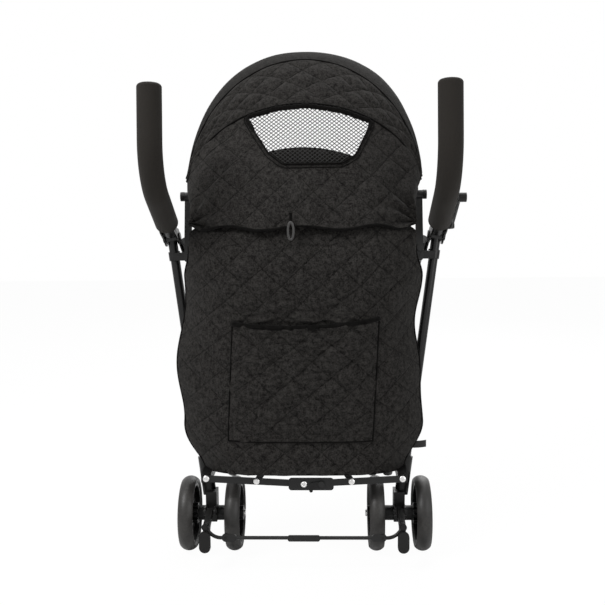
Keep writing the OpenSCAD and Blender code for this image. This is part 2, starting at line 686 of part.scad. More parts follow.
// The window in the rear hood panel, grown by d
module window_prism(d) {
  translate([0, 45, canopy_hinge[2]]) rotate([90, 0, 0]) linear_extrude(200)
    polygon([for (c = window_corners) rear_reach * c
      + d * [sign(c[0] - window_mid[0]), sign(c[1] - window_mid[1])]]);
}
module rear_hood_skin(outer, inner) {
  rows = [for (i = [0 : 10]) i / 10];
  skin([for (t = rows) [for (p = arch_phi) rear_hood(t, p, inner)]],
    [for (t = rows) [for (p = arch_phi) rear_hood(t, p, outer)]]);
}
module canopy_rear() {
  color(cloth_grey) difference() {
    rear_hood_skin(0, hood_t);
    window_prism(0);
  }
}
module window_net() {
  color([0.86, 0.86, 0.86]) intersection() {
    rear_hood_skin(0.8, hood_t - 1);
    window_prism(-gap);
  }
}
module canopy_top() {
  rows = [for (i = [0 : 7]) i / 7];
  function at(t, p, d) = arch(hood_w + d, mix(rear_reach, mid_reach, t) + d,
    mix(rear_tilt + 0.3, mid_tilt - 0.2, t), p);
  color(cloth_grey) skin(
    [for (t = rows) [for (p = arch_phi) at(t, p, -hood_t)]],
    [for (t = rows) [for (p = arch_phi) at(t, p, 3 * sin(180 * t) * quilt(hood_w * cos(p), 150 * t))]]);
}
module canopy_front() {
  rows = [for (i = [0 : 7]) i / 7];
  function at(t, p, d) = arch(hood_w + d, front_line(t) + d, front_tilt(t) + 0.2, p, mix(2, bow_square, t));
  color(cloth_grey) skin([for (t = rows) [for (p = arch_phi) at(t, p, -hood_t)]],
    [for (t = rows) [for (p = arch_phi) at(t, p, 0)]]);
}

// The back panel: half width, edge and depth at height z, with its edges behind the leg tubes
function leg_at(z) = leg_point((z - axle_z) / (cos(leg_lean) * cos(leg_flare)));
// 0 below z0 and 1 above z0 + h
function step_up(z, z0, h) = smooth(max(0, min(1, (z - z0) / h)));
function above_legs(z) = step_up(z, panel_high - 210, 150);
function panel_w(z) = foot_x + 10 + 36 * step_up(z, panel_low, 85) - 20 * step_up(z, hem_z - 100, 55)
  - 16 * step_up(z, hem_z - 45, 36);
function panel_y(u, z) =
  let (edge = mix(leg_at(z)[1] - tube_r - 8, -10, above_legs(z)),
    deep = -panel_back + 34 * step_up(z, panel_high - 100, 100))
  mix(edge, deep, 1 - pow(abs(u), 4));
function panel_point(u, z, d) = [u * panel_w(z), panel_y(u, z) - d * (1 - 0.6 * pow(u, 8)), z];
panel_bump = 5;
module back_panel() {
  rows = [for (i = [0 : 22]) mix(panel_low, panel_high, i / 22)];
  cols = [for (j = [0 : 22]) mix(-1, 1, j / 22)];
  color(cloth_grey) skin(
    [for (z = rows) [for (u = cols) panel_point(u, z, -1)]],
    [for (z = rows) [for (u = cols) panel_point(u, z, 1 + panel_bump * quilt(u * panel_w(z), z))]]);
}
module back_pocket() {
  low = 250;
  high = 476;
  half = 140;
  rows = [for (i = [0 : 8]) i / 8];
  cols = [for (j = [0 : 12]) mix(-1, 1, j / 12)];
  function at(t, k, d) =
    let (z = mix(low, high, t) - 8 * t * (1 - k * k), u = k * half / panel_w(z))
    panel_point(u, z, 1 + panel_bump + gap + d);
  function puff(t, k) = 3 + 9 * sin(180 * mix(0.12, 0.8, t)) * (1 - pow(k, 4));
  color(cloth_grey) skin([for (t = rows) [for (k = cols) at(t, k, 0)]],
    [for (t = rows) [for (k = cols) at(t, k, puff(t, k))]]);
}

// The seat: one pad that runs down the backrest, round the crease and forward
back_head = [0, backrest_top];
crease_a = [30, seat_z + 55];
crease_b = [60, seat_z - 15];
seat_edge = [330, seat_z + 17];
function seat_line(t) = pow(1 - t, 3) * back_head + 3 * pow(1 - t, 2) * t * crease_a
  + 3 * (1 - t) * t * t * crease_b + pow(t, 3) * seat_edge;
function seat_normal(t) =
  let (d = seat_line(min(1, t + 0.01)) - seat_line(max(0, t - 0.01)), n = [-d[1], d[0]] / norm(d)) n;
function seat_half(t) = mix(mix(seat_w - 12, seat_w, smooth(min(1, 2 * t))) * head_round(t),
  front_tube_in, smooth(max(0, (t - 0.75) * 4)));
// The backrest narrows in a curve at its head
function head_round(t) = 1 - 0.3 * pow(1 - min(1, t / 0.1), 2);
function seat_puff(t, k) = seat_t * (0.5 + 0.5 * (1 - pow(k, 6)) * (0.75 + 0.25 * abs(sin(180 * 5 * t))));
function seat_point(t, x, d) = let (p = seat_line(t) + d * seat_normal(t)) [x, p[0], p[1]];
front_tube_drop = (pivot[2] - seat_edge[1]) / cos(leg_flare);
front_tube_in = pivot[0] - front_inset * cos(leg_flare) - front_tube_drop * sin(leg_flare) - tube_r - 1;
module seat_pad() {
  rows = [for (i = [0 : 25]) pow(i / 25, 1.25)];
  cols = [for (j = [0 : 14]) mix(-1, 1, j / 14)];
  color(cloth_grey) skin([for (t = rows) [for (k = cols) seat_point(t, k * seat_half(t), 0)]],
    [for (t = rows) [for (k = cols) seat_point(t, k * seat_half(t), seat_puff(t, k))]]);
}
// A strap on the seat, from t0 to t1, with its middle from x0 to x1
module seat_strap(t0, t1, x0, x1) {
  half = 12;
  ks = [for (i = [0 : 14]) i / 14];
  function at(k, e, d) = seat_point(mix(t0, t1, k), mix(x0, x1, k) + e * half, seat_t + gap + d);
  skin([for (k = ks) [for (e = [-1, 1]) at(k, e, 0)]], [for (k = ks) [for (e = [-1, 1]) at(k, e, 2)]]);
}
module harness_straps() {
  color(plastic_black) {
    for (s = [-1, 1]) seat_strap(0.12, 0.5, s * 0.39 * seat_w, s * 0.09 * seat_w);
    seat_strap(0.57, 0.76, 0, 0);
  }
}
module harness_buckle() {
  at = seat_point(0.535, 0, seat_t + 1);
  n = seat_normal(0.535);
  color(plastic_black) translate(at) rotate([atan2(n[1], n[0]) - 90, 0, 0])
    linear_extrude(11) rounded(50, 22, 9);
}
module footrest_strap() {
  strap_z = 232;
  drop = (pivot[2] - strap_z) / cos(leg_flare);
  half = pivot[0] - front_inset * cos(leg_flare) - drop * sin(leg_flare) - tube_r - 1;
  y = pivot[1] + drop * tan(front_rake);
  us = [for (j = [0 : 16]) mix(-1, 1, j / 16)];
  function at(u, v, d) =
    [u * (half - 3 * abs(v)), y + 22 * (1 - u * u) + d, strap_z + 22 * v - 6 * (1 - u * u)];
  color(cloth_grey) skin([for (v = [-1, 0, 1]) [for (u = us) at(u, v, 3)]],
    [for (v = [-1, 0, 1]) [for (u = us) at(u, v, 0)]]);
}

home() rear_leg(-1);  // rear_leg_left
home() rear_leg(1);  // rear_leg_right
home() wheel_housing(-1);  // wheel_housing_left
home() wheel_housing(1);  // wheel_housing_right
home() rear_axle(-1);  // rear_axle_left
home() rear_axle(1);  // rear_axle_right
home() brace_bracket(-1);  // brace_bracket_left
home() brace_bracket(1);  // brace_bracket_right
home() rear_tyre(-1, 1);  // outer_rear_tyre_left
home() rear_tyre(1, 1);  // outer_rear_tyre_right
home() rear_rim(-1, 1);  // outer_rear_rim_left
home() rear_rim(1, 1);  // outer_rear_rim_right
home() rear_tyre(-1, -1);  // inner_rear_tyre_left
home() rear_tyre(1, -1);  // inner_rear_tyre_right
home() rear_rim(-1, -1);  // inner_rear_rim_left
home() rear_rim(1, -1);  // inner_rear_rim_right
home() handle_clevis(-1);  // handle_clevis_left
home() handle_clevis(1);  // handle_clevis_right
home() handle_tube(-1);  // handle_tube_left
home() handle_tube(1);  // handle_tube_right
home() foam_grip(-1);  // foam_grip_left
home() foam_grip(1);  // foam_grip_right
home() front_tube(-1);  // front_tube_left
home() front_tube(1);  // front_tube_right
home() caster_socket(-1);  // caster_socket_left
home() caster_socket(1);  // caster_socket_right
home() caster_fork(-1);  // caster_fork_left
home() caster_fork(1);  // caster_fork_right
home() front_axle(-1);  // front_axle_left
home() front_axle(1);  // front_axle_right
home() front_tyres(-1);  // front_tyres_left
home() front_tyres(1);  // front_tyres_right
home() front_rims(-1);  // front_rims_left
home() front_rims(1);  // front_rims_right
home() brace_bar(-1);  // brace_bar_left
home() brace_bar(1);  // brace_bar_right
home() brace_hub_pin();
home() lock_link_left();
home() lock_link_right();
home() lock_latch();
home() brake_pedal(-1);  // brake_pedal_left
home() brake_pedal(1);  // brake_pedal_right
home() brake_rod(-1);  // brake_rod_left
home() brake_rod(1);  // brake_rod_right
home() canopy_knob(-1);  // canopy_knob_left
home() canopy_knob(1);  // canopy_knob_right
home() transport_hook();
home() canopy_rear();
home() window_net();
home() canopy_top();
home() canopy_front();
home() middle_bow();
home() front_bow();
home() back_panel();
home() back_pocket();
home() seat_pad();
home() footrest_strap();
home() harness_straps();
home() harness_buckle();
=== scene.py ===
# %% [markdown]
# # An umbrella stroller, seen from behind
# The construction model gives every tube, wheel and joint its place. This lesson loads it, dresses the
# hard parts with finishes, and makes the soft goods anew as surfaces worked out with numpy.

# %% Load the frame
import math

import bmesh
import bpy
import numpy as np
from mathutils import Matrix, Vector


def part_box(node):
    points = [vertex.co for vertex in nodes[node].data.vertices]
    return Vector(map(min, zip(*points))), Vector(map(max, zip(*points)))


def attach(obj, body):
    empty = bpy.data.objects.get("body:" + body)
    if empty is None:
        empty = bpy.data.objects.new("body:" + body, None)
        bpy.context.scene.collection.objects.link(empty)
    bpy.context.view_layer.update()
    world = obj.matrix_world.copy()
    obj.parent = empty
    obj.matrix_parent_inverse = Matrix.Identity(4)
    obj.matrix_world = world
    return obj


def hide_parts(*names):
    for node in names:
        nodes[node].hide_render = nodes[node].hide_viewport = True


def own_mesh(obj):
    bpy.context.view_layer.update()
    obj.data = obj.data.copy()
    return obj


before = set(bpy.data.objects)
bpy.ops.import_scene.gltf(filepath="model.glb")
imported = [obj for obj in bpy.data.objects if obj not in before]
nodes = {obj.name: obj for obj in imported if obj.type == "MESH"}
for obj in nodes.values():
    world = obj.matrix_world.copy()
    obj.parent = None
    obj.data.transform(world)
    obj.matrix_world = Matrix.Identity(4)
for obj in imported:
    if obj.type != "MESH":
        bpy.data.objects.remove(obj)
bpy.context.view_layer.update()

# %% [markdown]
# ## One origin for all surfaces
# Every soft surface is drawn in millimetres from the middle of the rear axle line, on the floor. The axle
# nodes say where that point is, so the surfaces follow the frame if it moves.

# %% Origin and small helpers
MM = 0.001
left_axle, right_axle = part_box("rear_axle_left"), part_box("rear_axle_right")
HOME = np.array([(left_axle[0][0] + right_axle[1][0]) / 2, (left_axle[0][1] + left_axle[1][1]) / 2, 0.0])


def place(points):
    """Millimetres from the axle middle become metres in the object's frame."""
    return np.asarray(points, float) * MM + HOME


def mix(a, b, t):
    """Straight blend from a to b as t goes from 0 to 1."""
    return a + (b - a) * t


def smooth(t):
    """Eased step: 3 t squared minus 2 t cubed, with t kept between 0 and 1."""
    t = np.clip(t, 0, 1)
    return t * t * (3 - 2 * t)


def xyz(x, y, z):
    """Three arrays of one shape become an array of points."""
    return np.stack(np.broadcast_arrays(x, y, z), axis=-1)


def pair(u, v):
    """Two arrays of one shape become an array of pairs."""
    return np.stack(np.broadcast_arrays(u, v), axis=-1)


def unit(steps):
    """Vectors scaled to length 1."""
    return steps / np.linalg.norm(steps, axis=-1, keepdims=True)


def ramp(low, high, count):
    """Evenly spaced values."""
    return np.linspace(low, high, count)


def grid_of(rows, cols):
    """The row value and the column value at each point of a grid, as two arrays."""
    return np.meshgrid(rows, cols, indexing="ij")


def soft_noise(x, y, seed, size=64):
    """Value noise: random heights on a square lattice, eased between the lattice points."""
    lattice = np.random.default_rng(seed).uniform(-1, 1, (size, size))
    x, y = np.broadcast_arrays(np.asarray(x, float), np.asarray(y, float))
    i, j = np.floor(x).astype(int), np.floor(y).astype(int)
    u, v = smooth(x - i), smooth(y - j)
    low = mix(lattice[i % size, j % size], lattice[(i + 1) % size, j % size], u)
    high = mix(lattice[i % size, (j + 1) % size], lattice[(i + 1) % size, (j + 1) % size], u)
    return mix(low, high, v)


def crease_noise(x, y, seed):
    """Wrinkles: the crests where two octaves of value noise pass through zero."""
    wave = soft_noise(x, y, seed) + 0.5 * soft_noise(2 * x + 7, 2 * y + 3, seed + 1)
    return np.exp(-(wave / 0.28) ** 2)


print("axle middle", HOME)

# %% [markdown]
# ## From grids to meshes
# A surface is a grid of points: rows along one parameter, columns along the other. Neighbouring points
# share a quad. A pad is two such grids, front and back, joined by a rim. Sheets and pads carry cloth
# coordinates in metres, so that a weave keeps its size on each of them.


# %% Mesh builders
def grid_faces(rows, cols, start=0, ring=False):
    """Quads of a grid of points, as an array. With ring, the last column meets the first."""
    index = np.arange(rows * cols).reshape(rows, cols) + start
    right = np.roll(index, -1, axis=1)
    if not ring:
        index, right = index[:, :-1], right[:, :-1]
    return np.stack([index[:-1], right[:-1], right[1:], index[1:]], axis=-1).reshape(-1, 4)


def mesh_object(name, points, faces, material, maps=None):
    """A mesh from points in millimetres and faces, with UV maps given per point."""
    mesh = bpy.data.meshes.new(name)
    faces = faces if isinstance(faces, list) else faces.tolist()
    mesh.from_pydata(place(points).reshape(-1, 3).tolist(), [], faces)
    for title, values in (maps or {}).items():
        layer = mesh.uv_layers.new(name=title)
        corner = np.empty(len(mesh.loops), np.int64)
        mesh.loops.foreach_get("vertex_index", corner)
        layer.data.foreach_set("uv", np.asarray(values, float).reshape(-1, 2)[corner].ravel())
    mesh.polygons.foreach_set("use_smooth", np.full(len(mesh.polygons), True))
    mesh.materials.append(material)
    mesh.update()
    piece = bpy.data.objects.new(name, mesh)
    bpy.context.scene.collection.objects.link(piece)
    return piece


def sheet_object(name, grid, material, maps=None, thick=2.0, keep=None):
    """A sheet of cloth: one grid with a Solidify wall. keep is a mask of the faces that stay."""
    rows, cols = grid.shape[:2]
    faces = grid_faces(rows, cols)
    if keep is not None:
        faces = faces[keep.ravel()]
        used = np.unique(faces)
        renumber = np.zeros(rows * cols, np.int64)
        renumber[used] = np.arange(len(used))
        faces = renumber[faces]
        maps = {k: np.asarray(v).reshape(-1, 2)[used] for k, v in (maps or {}).items()}
        grid = grid.reshape(-1, 3)[used]
    piece = mesh_object(name, grid, faces, material, maps)
    wall = piece.modifiers.new("cloth_wall", "SOLIDIFY")
    wall.thickness = thick * MM
    wall.offset = -1
    return piece


def pad_object(name, front, back, material, maps=None):
    """A closed pad between two grids of one size: the front faces out, and a rim joins the edges."""
    rows, cols = front.shape[:2]
    count = rows * cols
    index = np.arange(count).reshape(rows, cols)
    loop = np.concatenate([index[0, :-1], index[:-1, -1], index[-1, :0:-1], index[:0:-1, 0]])
    after = np.roll(loop, -1)
    rim = np.stack([after, loop, loop + count, after + count], axis=-1)
    faces = np.concatenate([grid_faces(rows, cols), grid_faces(rows, cols, count)[:, ::-1], rim])
    maps = {k: np.concatenate([np.asarray(v).reshape(-1, 2)] * 2) for k, v in (maps or {}).items()}
    points = np.concatenate([front.reshape(-1, 3), back.reshape(-1, 3)])
    return mesh_object(name, points, faces, material, maps)


def tube_along(path, wide, tall, around=10, closed=False, up=(0, -1, 0)):
    """Rings along a path: ellipse axes lie across the path and along up, made square to the path."""
    ahead = np.roll(path, -1, axis=0) - np.roll(path, 1, axis=0)
    if not closed:
        ahead[0], ahead[-1] = path[1] - path[0], path[-1] - path[-2]
    ahead = unit(ahead)
    side = unit(np.cross(ahead, np.broadcast_to(np.asarray(up, float), path.shape)))
    top = np.cross(side, ahead)
    turn = ramp(0, 2 * math.pi, around + 1)[:-1]
    wide, tall = (np.broadcast_to(np.asarray(v, float), (len(path),)) for v in (wide, tall))
    return (path[:, None] + side[:, None] * (wide[:, None] * np.cos(turn))[..., None]
            + top[:, None] * (tall[:, None] * np.sin(turn))[..., None])


def tube_object(name, rings, material, closed=False):
    """A tube from rings of points. An open one is closed by a middle point at each end."""
    rows, cols = rings.shape[:2]
    count = rows * cols
    if closed:
        return mesh_object(name, rings, grid_faces(rows + 1, cols, ring=True) % count, material)
    points = np.concatenate([rings.reshape(-1, 3), rings[[0, -1]].mean(axis=1)])
    first, last = np.arange(cols), np.arange(cols) + count - cols
    caps = [np.stack([np.roll(first, -1), first, np.full(cols, count)], axis=-1),
            np.stack([last, np.roll(last, -1), np.full(cols, count + 1)], axis=-1)]
    faces = grid_faces(rows, cols, ring=True).tolist() + caps[0].tolist() + caps[1].tolist()
    return mesh_object(name, points, faces, material)


def face_outward(piece):
    """Turns the faces of a closed piece outward."""
    work = bmesh.new()
    work.from_mesh(piece.data)
    bmesh.ops.recalc_face_normals(work, faces=work.faces)
    work.to_mesh(piece.data)
    work.free()
    return piece


# %% [markdown]
# ## Shader nodes
# The studio and the finishes are both wired from nodes, so the helpers for that come first.


# %% Node helpers
def feed(tree, made, inputs):
    """Fills inputs of a node: another node's output is linked, any other value is set."""
    for key, value in inputs.items():
        if isinstance(value, bpy.types.NodeSocket):
            tree.links.new(value, made.inputs[key])
        else:
            made.inputs[key].default_value = value
    return made


def add(tree, kind, inputs=None, **settings):
    """A shader node with its settings and inputs."""
    made = tree.nodes.new("ShaderNode" + kind)
    for key, value in settings.items():
        setattr(made, key, value)
    return feed(tree, made, inputs or {})


def calc(tree, operation, *values):
    """The result of one Math node."""
    return add(tree, "Math", dict(enumerate(values)), operation=operation).outputs[0]


def noise(tree, where, scale, detail, roughness=0.5):
    """The value of a noise texture."""
    return add(tree, "TexNoise", {"Vector": where, "Scale": scale, "Detail": detail,
                                  "Roughness": roughness}).outputs["Fac"]


def blend(tree, share, low, high):
    """A colour between two: low where the share is 0, high where it is 1."""
    return add(tree, "MixRGB", {"Fac": share, "Color1": low, "Color2": high}).outputs[0]


def spaced(inputs):
    """Socket names from keywords: underscores stand for spaces."""
    return {key.replace("_", " "): value for key, value in inputs.items()}


def new_group(name, inputs, outputs):
    """An empty shader group with named sockets: returns its tree, its inputs and its output node."""
    tree = bpy.data.node_groups.new(name, "ShaderNodeTree")
    for title, kind, value in inputs:
        socket = tree.interface.new_socket(title, in_out="INPUT", socket_type="NodeSocket" + kind)
        if value is not None:
            socket.default_value = value
    for title, kind in outputs:
        tree.interface.new_socket(title, in_out="OUTPUT", socket_type="NodeSocket" + kind)
    return tree, tree.nodes.new("NodeGroupInput").outputs, tree.nodes.new("NodeGroupOutput")


def use(tree, group, **inputs):
    """Places a shared group in a material and returns its outputs."""
    return add(tree, "Group", spaced(inputs), node_tree=group).outputs


# %% [markdown]
# ## The camera and the studio
# The picture was taken from behind, at the height of the hood's hinges and tilted down a little. A square
# frame of 605 pixels with a focal length of 850 pixels gives the lens. White paper surrounds the object:
# the world is white to the camera, in reflections and through clear parts, and the floor only keeps a
# pale shadow.

# %% Camera, lamps, floor and world
scene = bpy.context.scene
scene.view_settings.view_transform = "Standard"
FRAME_PX, FOCAL_PX, SENSOR = 605, 850, 36.0
EYE_BACK, EYE_SIDE, EYE_UP = 1.680, 0.050, 0.712
EYE_PITCH, EYE_YAW, EYE_ROLL = 6.88, 1.68, 0.6
camera_data = bpy.data.cameras.new("rear_view")
camera_data.sensor_width = SENSOR
camera_data.lens = SENSOR * FOCAL_PX / FRAME_PX
camera = bpy.data.objects.new("rear_view", camera_data)
camera.location = (HOME[0] + EYE_SIDE, HOME[1] - EYE_BACK, EYE_UP)
camera.rotation_euler = (math.radians(90 - EYE_PITCH), math.radians(EYE_ROLL), math.radians(EYE_YAW))
scene.collection.objects.link(camera)
scene.camera = camera


def soft_lamp(name, place_at, aim, size, power):
    """A square area lamp that looks at a point."""
    lamp = bpy.data.lights.new(name, "AREA")
    lamp.shape, lamp.size, lamp.energy = "SQUARE", size, power
    thing = bpy.data.objects.new(name, lamp)
    thing.location = place_at
    away = np.array(aim) - np.array(place_at)
    flat = math.hypot(away[0], away[1])
    thing.rotation_euler = (math.atan2(flat, -away[2]), 0, math.atan2(-away[0], away[1]))
    scene.collection.objects.link(thing)


MIDDLE = (0.0, 0.0, 0.55)
soft_lamp("key_softbox", (-1.7, -1.5, 2.6), MIDDLE, 1.2, 75)
soft_lamp("fill_softbox", (1.9, -1.7, 1.5), MIDDLE, 1.8, 24)
soft_lamp("top_softbox", (0.1, 0.4, 2.9), MIDDLE, 1.8, 42)
soft_lamp("front_softbox", (0.6, 2.4, 1.8), MIDDLE, 1.8, 30)

WHITE, PALE = (1, 1, 1, 1), (0.9, 0.9, 0.9, 1)
AIR_LIGHT, FLOOR_GLOW, FLOOR_HALF = 0.3, 0.97, 6000
world = bpy.data.worlds.new("white_paper")
scene.world = world
world.use_nodes = True
wires = world.node_tree
wires.nodes.clear()
seen = add(wires, "LightPath").outputs
paper = add(wires, "Background", {"Color": WHITE}).outputs[0]
air = add(wires, "Background", {"Color": WHITE, "Strength": AIR_LIGHT}).outputs[0]
either = calc(wires, "MAXIMUM", seen["Is Camera Ray"], seen["Is Glossy Ray"])
either_clear = calc(wires, "MAXIMUM", either, seen["Is Transmission Ray"])
add(wires, "OutputWorld", {0: add(wires, "MixShader", {0: either_clear, 1: air, 2: paper}).outputs[0]})

floor_paint = bpy.data.materials.new("studio_floor")
floor_paint.use_nodes = True
wires = floor_paint.node_tree
matt = feed(wires, wires.nodes["Principled BSDF"], {"Base Color": PALE, "Roughness": 0.9}).outputs[0]
glow = add(wires, "Emission").outputs[0]
share = calc(wires, "MULTIPLY", add(wires, "LightPath").outputs["Is Camera Ray"], FLOOR_GLOW)
blend_floor = add(wires, "MixShader", {0: share, 1: matt, 2: glow}).outputs[0]
feed(wires, wires.nodes["Material Output"], {0: blend_floor})
floor_side = ramp(-FLOOR_HALF, FLOOR_HALF, 2)
floor = mesh_object("studio_floor", xyz(*np.meshgrid(floor_side, floor_side), -0.5), grid_faces(2, 2),
                    floor_paint)
print("lens", round(camera_data.lens, 2), "camera at", tuple(round(v, 3) for v in camera.location))

# %% [markdown]
# ## Finishes
# Effects that several finishes share are shader groups: the mottled fibres of dyed yarn, a plain weave,
# quilting stitches, the grain of moulded plastic and a film of dust. Each material places the groups it
# needs and keeps its own shader.

# %% Shared shader groups
VECTOR = ("Vector", "Vector", None)
fibre_mottle, take, give = new_group(
    "fibre_mottle", [VECTOR, ("Fineness", "Float", 900.0), ("Dark", "Color", None), ("Light", "Color", None)],
    [("Color", "Color"), ("Height", "Float")])
yarn = noise(fibre_mottle, take["Vector"], take["Fineness"], 3.0, 0.65)
slub = noise(fibre_mottle, take["Vector"], calc(fibre_mottle, "MULTIPLY", take["Fineness"], 0.34), 4.0)
both = calc(fibre_mottle, "ADD", calc(fibre_mottle, "MULTIPLY", yarn, 0.6),
            calc(fibre_mottle, "MULTIPLY", slub, 0.4))
spread = add(fibre_mottle, "MapRange", {"Value": both, "From Min": 0.38, "From Max": 0.62}).outputs[0]
feed(fibre_mottle, give, {"Color": blend(fibre_mottle, spread, take["Dark"], take["Light"]), "Height": yarn})

plain_weave, take, give = new_group(
    "plain_weave", [VECTOR, ("Threads per metre", "Float", 900.0)], [("Height", "Float")])
axes = add(plain_weave, "SeparateXYZ", {"Vector": take["Vector"]}).outputs
turns = calc(plain_weave, "MULTIPLY", take["Threads per metre"], math.pi)
warp, weft = (calc(plain_weave, "SINE", calc(plain_weave, "MULTIPLY", axes[k], turns)) for k in (0, 1))
feed(plain_weave, give, {"Height": calc(plain_weave, "MULTIPLY", warp, weft)})

# The second output marks the stitch threads. The cloth darkens them, partly for the thread's own dark colour
# and partly as painted shade in the sunk seams.
quilt_stitch, take, give = new_group(
    "quilt_stitch", [VECTOR, ("Width", "Float", 0.02), ("Stitches", "Float", 16.0)],
    [("Seam", "Float"), ("Thread_and_shade", "Float")])
axes = add(quilt_stitch, "SeparateXYZ", {"Vector": take["Vector"]}).outputs
lines, threads = [], []
for across, along in ((axes[0], axes[1]), (axes[1], axes[0])):
    nearest = calc(quilt_stitch, "ROUND", across)
    off = calc(quilt_stitch, "ABSOLUTE", calc(quilt_stitch, "SUBTRACT", across, nearest))
    line = add(quilt_stitch, "MapRange", {"Value": off, "From Min": take["Width"],
                                          "From Max": 0.0}).outputs[0]
    step = calc(quilt_stitch, "FRACT", calc(quilt_stitch, "MULTIPLY", along, take["Stitches"]))
    lines.append(line)
    threads.append(calc(quilt_stitch, "MULTIPLY", line, calc(quilt_stitch, "LESS_THAN", step, 0.62)))
feed(quilt_stitch, give, {"Seam": calc(quilt_stitch, "MAXIMUM", *lines),
                          "Thread_and_shade": calc(quilt_stitch, "MAXIMUM", *threads)})

moulded_grain, take, give = new_group(
    "moulded_grain", [VECTOR, ("Scale", "Float", 900.0)], [("Height", "Float"), ("Patch", "Float")])
pits = add(moulded_grain, "TexVoronoi", {"Vector": take["Vector"], "Scale": take["Scale"]})
feed(moulded_grain, give, {"Height": pits.outputs["Distance"],
                           "Patch": noise(moulded_grain, take["Vector"], 26.0, 5.0)})

dust_film, take, give = new_group("dust_film", [VECTOR, ("Cover", "Float", 0.3)], [("Mask", "Float")])
film = calc(dust_film, "MULTIPLY", noise(dust_film, take["Vector"], 220.0, 6.0, 0.7),
            noise(dust_film, take["Vector"], 14.0, 3.0))
reach = add(dust_film, "MapRange", {"Value": film, "From Min": 0.18, "From Max": 0.42}).outputs[0]
feed(dust_film, give, {"Mask": calc(dust_film, "MULTIPLY", reach, take["Cover"])})
print("groups", [group.name for group in bpy.data.node_groups])


# %% [markdown]
# Cloth is a melange: warm black with paler fibres. Its weave and stitches read the piece's own cloth
# map, which is in metres, and the quilting map, whose whole numbers lie on the seams.


# %% Cloth finishes
def start_material(name, roughness, **plain):
    """A material with its Principled shader, whose plain values are set on its own sockets."""
    material = bpy.data.materials.new(name)
    material.use_nodes = True
    tree = material.node_tree
    shader = feed(tree, tree.nodes["Principled BSDF"], {"Roughness": roughness, **spaced(plain)})
    return material, tree, shader, add(tree, "TexCoord").outputs["Object"]


def grey(value, warm=0.06):
    """A warm grey: red a little above green, blue a little below."""
    return (value * (1 + warm), value, value * (1 - warm), 1)


def dress(tree, shader, colour, height, strength, depth):
    """Gives a shader its colour and lets a height raise its shading normal; depth is in metres."""
    made = add(tree, "Bump", {"Height": height, "Strength": strength, "Distance": depth})
    feed(tree, shader, {"Base Color": colour, "Normal": made.outputs[0]})


def cloth_finish(name, dark, light, threads_per_metre=620.0, quilted=True):
    """Melange cloth: mottled yarn and a plain weave, with sunk dark stitches and painted seam shade if
    quilted.
    """
    material, tree, shader, where = start_material(name, 0.88, Sheen_Weight=0.03, Sheen_Roughness=0.45,
                                                   Specular_IOR_Level=0.03)
    cloth = add(tree, "UVMap", uv_map="cloth").outputs[0]
    yarn_look = use(tree, fibre_mottle, Vector=where, Fineness=380.0, Dark=grey(dark), Light=grey(light))
    weave = use(tree, plain_weave, Vector=cloth, Threads_per_metre=threads_per_metre)["Height"]
    height = calc(tree, "ADD", calc(tree, "MULTIPLY", weave, 0.5), yarn_look["Height"])
    colour = yarn_look["Color"]
    if quilted:
        quilt_map = add(tree, "UVMap", uv_map="quilt").outputs[0]
        sewn = use(tree, quilt_stitch, Vector=quilt_map, Width=0.03, Stitches=15.0)
        height = calc(tree, "SUBTRACT", height, calc(tree, "MULTIPLY", sewn["Seam"], 2.4))
        # Painted shade: the stitch thread mask darkens the cloth, partly as dark thread and partly as the
        # shade of the sunk seams.
        colour = blend(tree, calc(tree, "MULTIPLY", sewn["Thread_and_shade"], 0.8), colour, grey(dark * 0.45))
    dress(tree, shader, colour, height, 0.5, 0.0006)
    return material


quilted_cloth = cloth_finish("quilted_cloth", 0.005, 0.03)
hood_cloth = cloth_finish("hood_cloth", 0.006, 0.031)
band_cloth = cloth_finish("smooth_hood_cloth", 0.005, 0.02, quilted=False)
lining_cloth = cloth_finish("seat_cloth", 0.005, 0.028)
hem_tape = cloth_finish("hem_tape", 0.002, 0.006, threads_per_metre=900.0, quilted=False)
RIB_PITCH = 0.0022


def webbing_finish(name, dark, light):
    """Woven strap: ribs across its length, which runs along the second cloth coordinate."""
    material, tree, shader, where = start_material(name, 0.62, Sheen_Weight=0.1, Specular_IOR_Level=0.35)
    cloth = add(tree, "UVMap", uv_map="cloth").outputs[0]
    along = add(tree, "SeparateXYZ", {"Vector": cloth}).outputs[1]
    ribs = calc(tree, "SINE", calc(tree, "MULTIPLY", along, 2 * math.pi / RIB_PITCH))
    yarn_look = use(tree, fibre_mottle, Vector=where, Fineness=1500.0, Dark=grey(dark), Light=grey(light))
    dress(tree, shader, yarn_look["Color"], calc(tree, "ADD", ribs, yarn_look["Height"]), 0.5, 0.0005)
    return material


webbing = webbing_finish("strap_webbing", 0.006, 0.016)


# %% [markdown]
# The hard parts keep their construction meshes. Tubes are satin painted, levers and housings are moulded
# plastic, grips are closed-cell foam with fine pores, tyres are dusty foam rubber and rivets are bright.


# %% Hard finishes
def two_tones(tree, share, tone, low, high, warm):
    """A colour that drifts between a low and a high multiple of a tone."""
    return blend(tree, share, grey(tone * low, warm), grey(tone * high, warm))


def dusted(tree, where, cover, base, pale):
    """A base colour under a film of pale dust."""
    return blend(tree, use(tree, dust_film, Vector=where, Cover=cover)["Mask"], base, grey(pale, 0.08))


def vary_gloss(tree, shader, share, low, high):
    """Lets the roughness run from low to high with a share from 0 to 1."""
    rough = add(tree, "MapRange", {"Value": share, "To Min": low, "To Max": high})
    feed(tree, shader, {"Roughness": rough.outputs[0]})


def painted_finish(name, tone, roughness):
    """Satin paint: a faint orange peel, and a tone that drifts with the grain's broad patches."""
    material, tree, shader, where = start_material(name, roughness, Coat_Weight=0.08, Coat_Roughness=0.3,
                                                   Specular_IOR_Level=0.25)
    grain = use(tree, moulded_grain, Vector=where, Scale=1600.0)
    vary_gloss(tree, shader, grain["Patch"], roughness - 0.06, roughness + 0.08)
    dress(tree, shader, two_tones(tree, grain["Patch"], tone, 0.8, 1.25, 0.01), grain["Height"], 0.12, 0.0002)
    return material


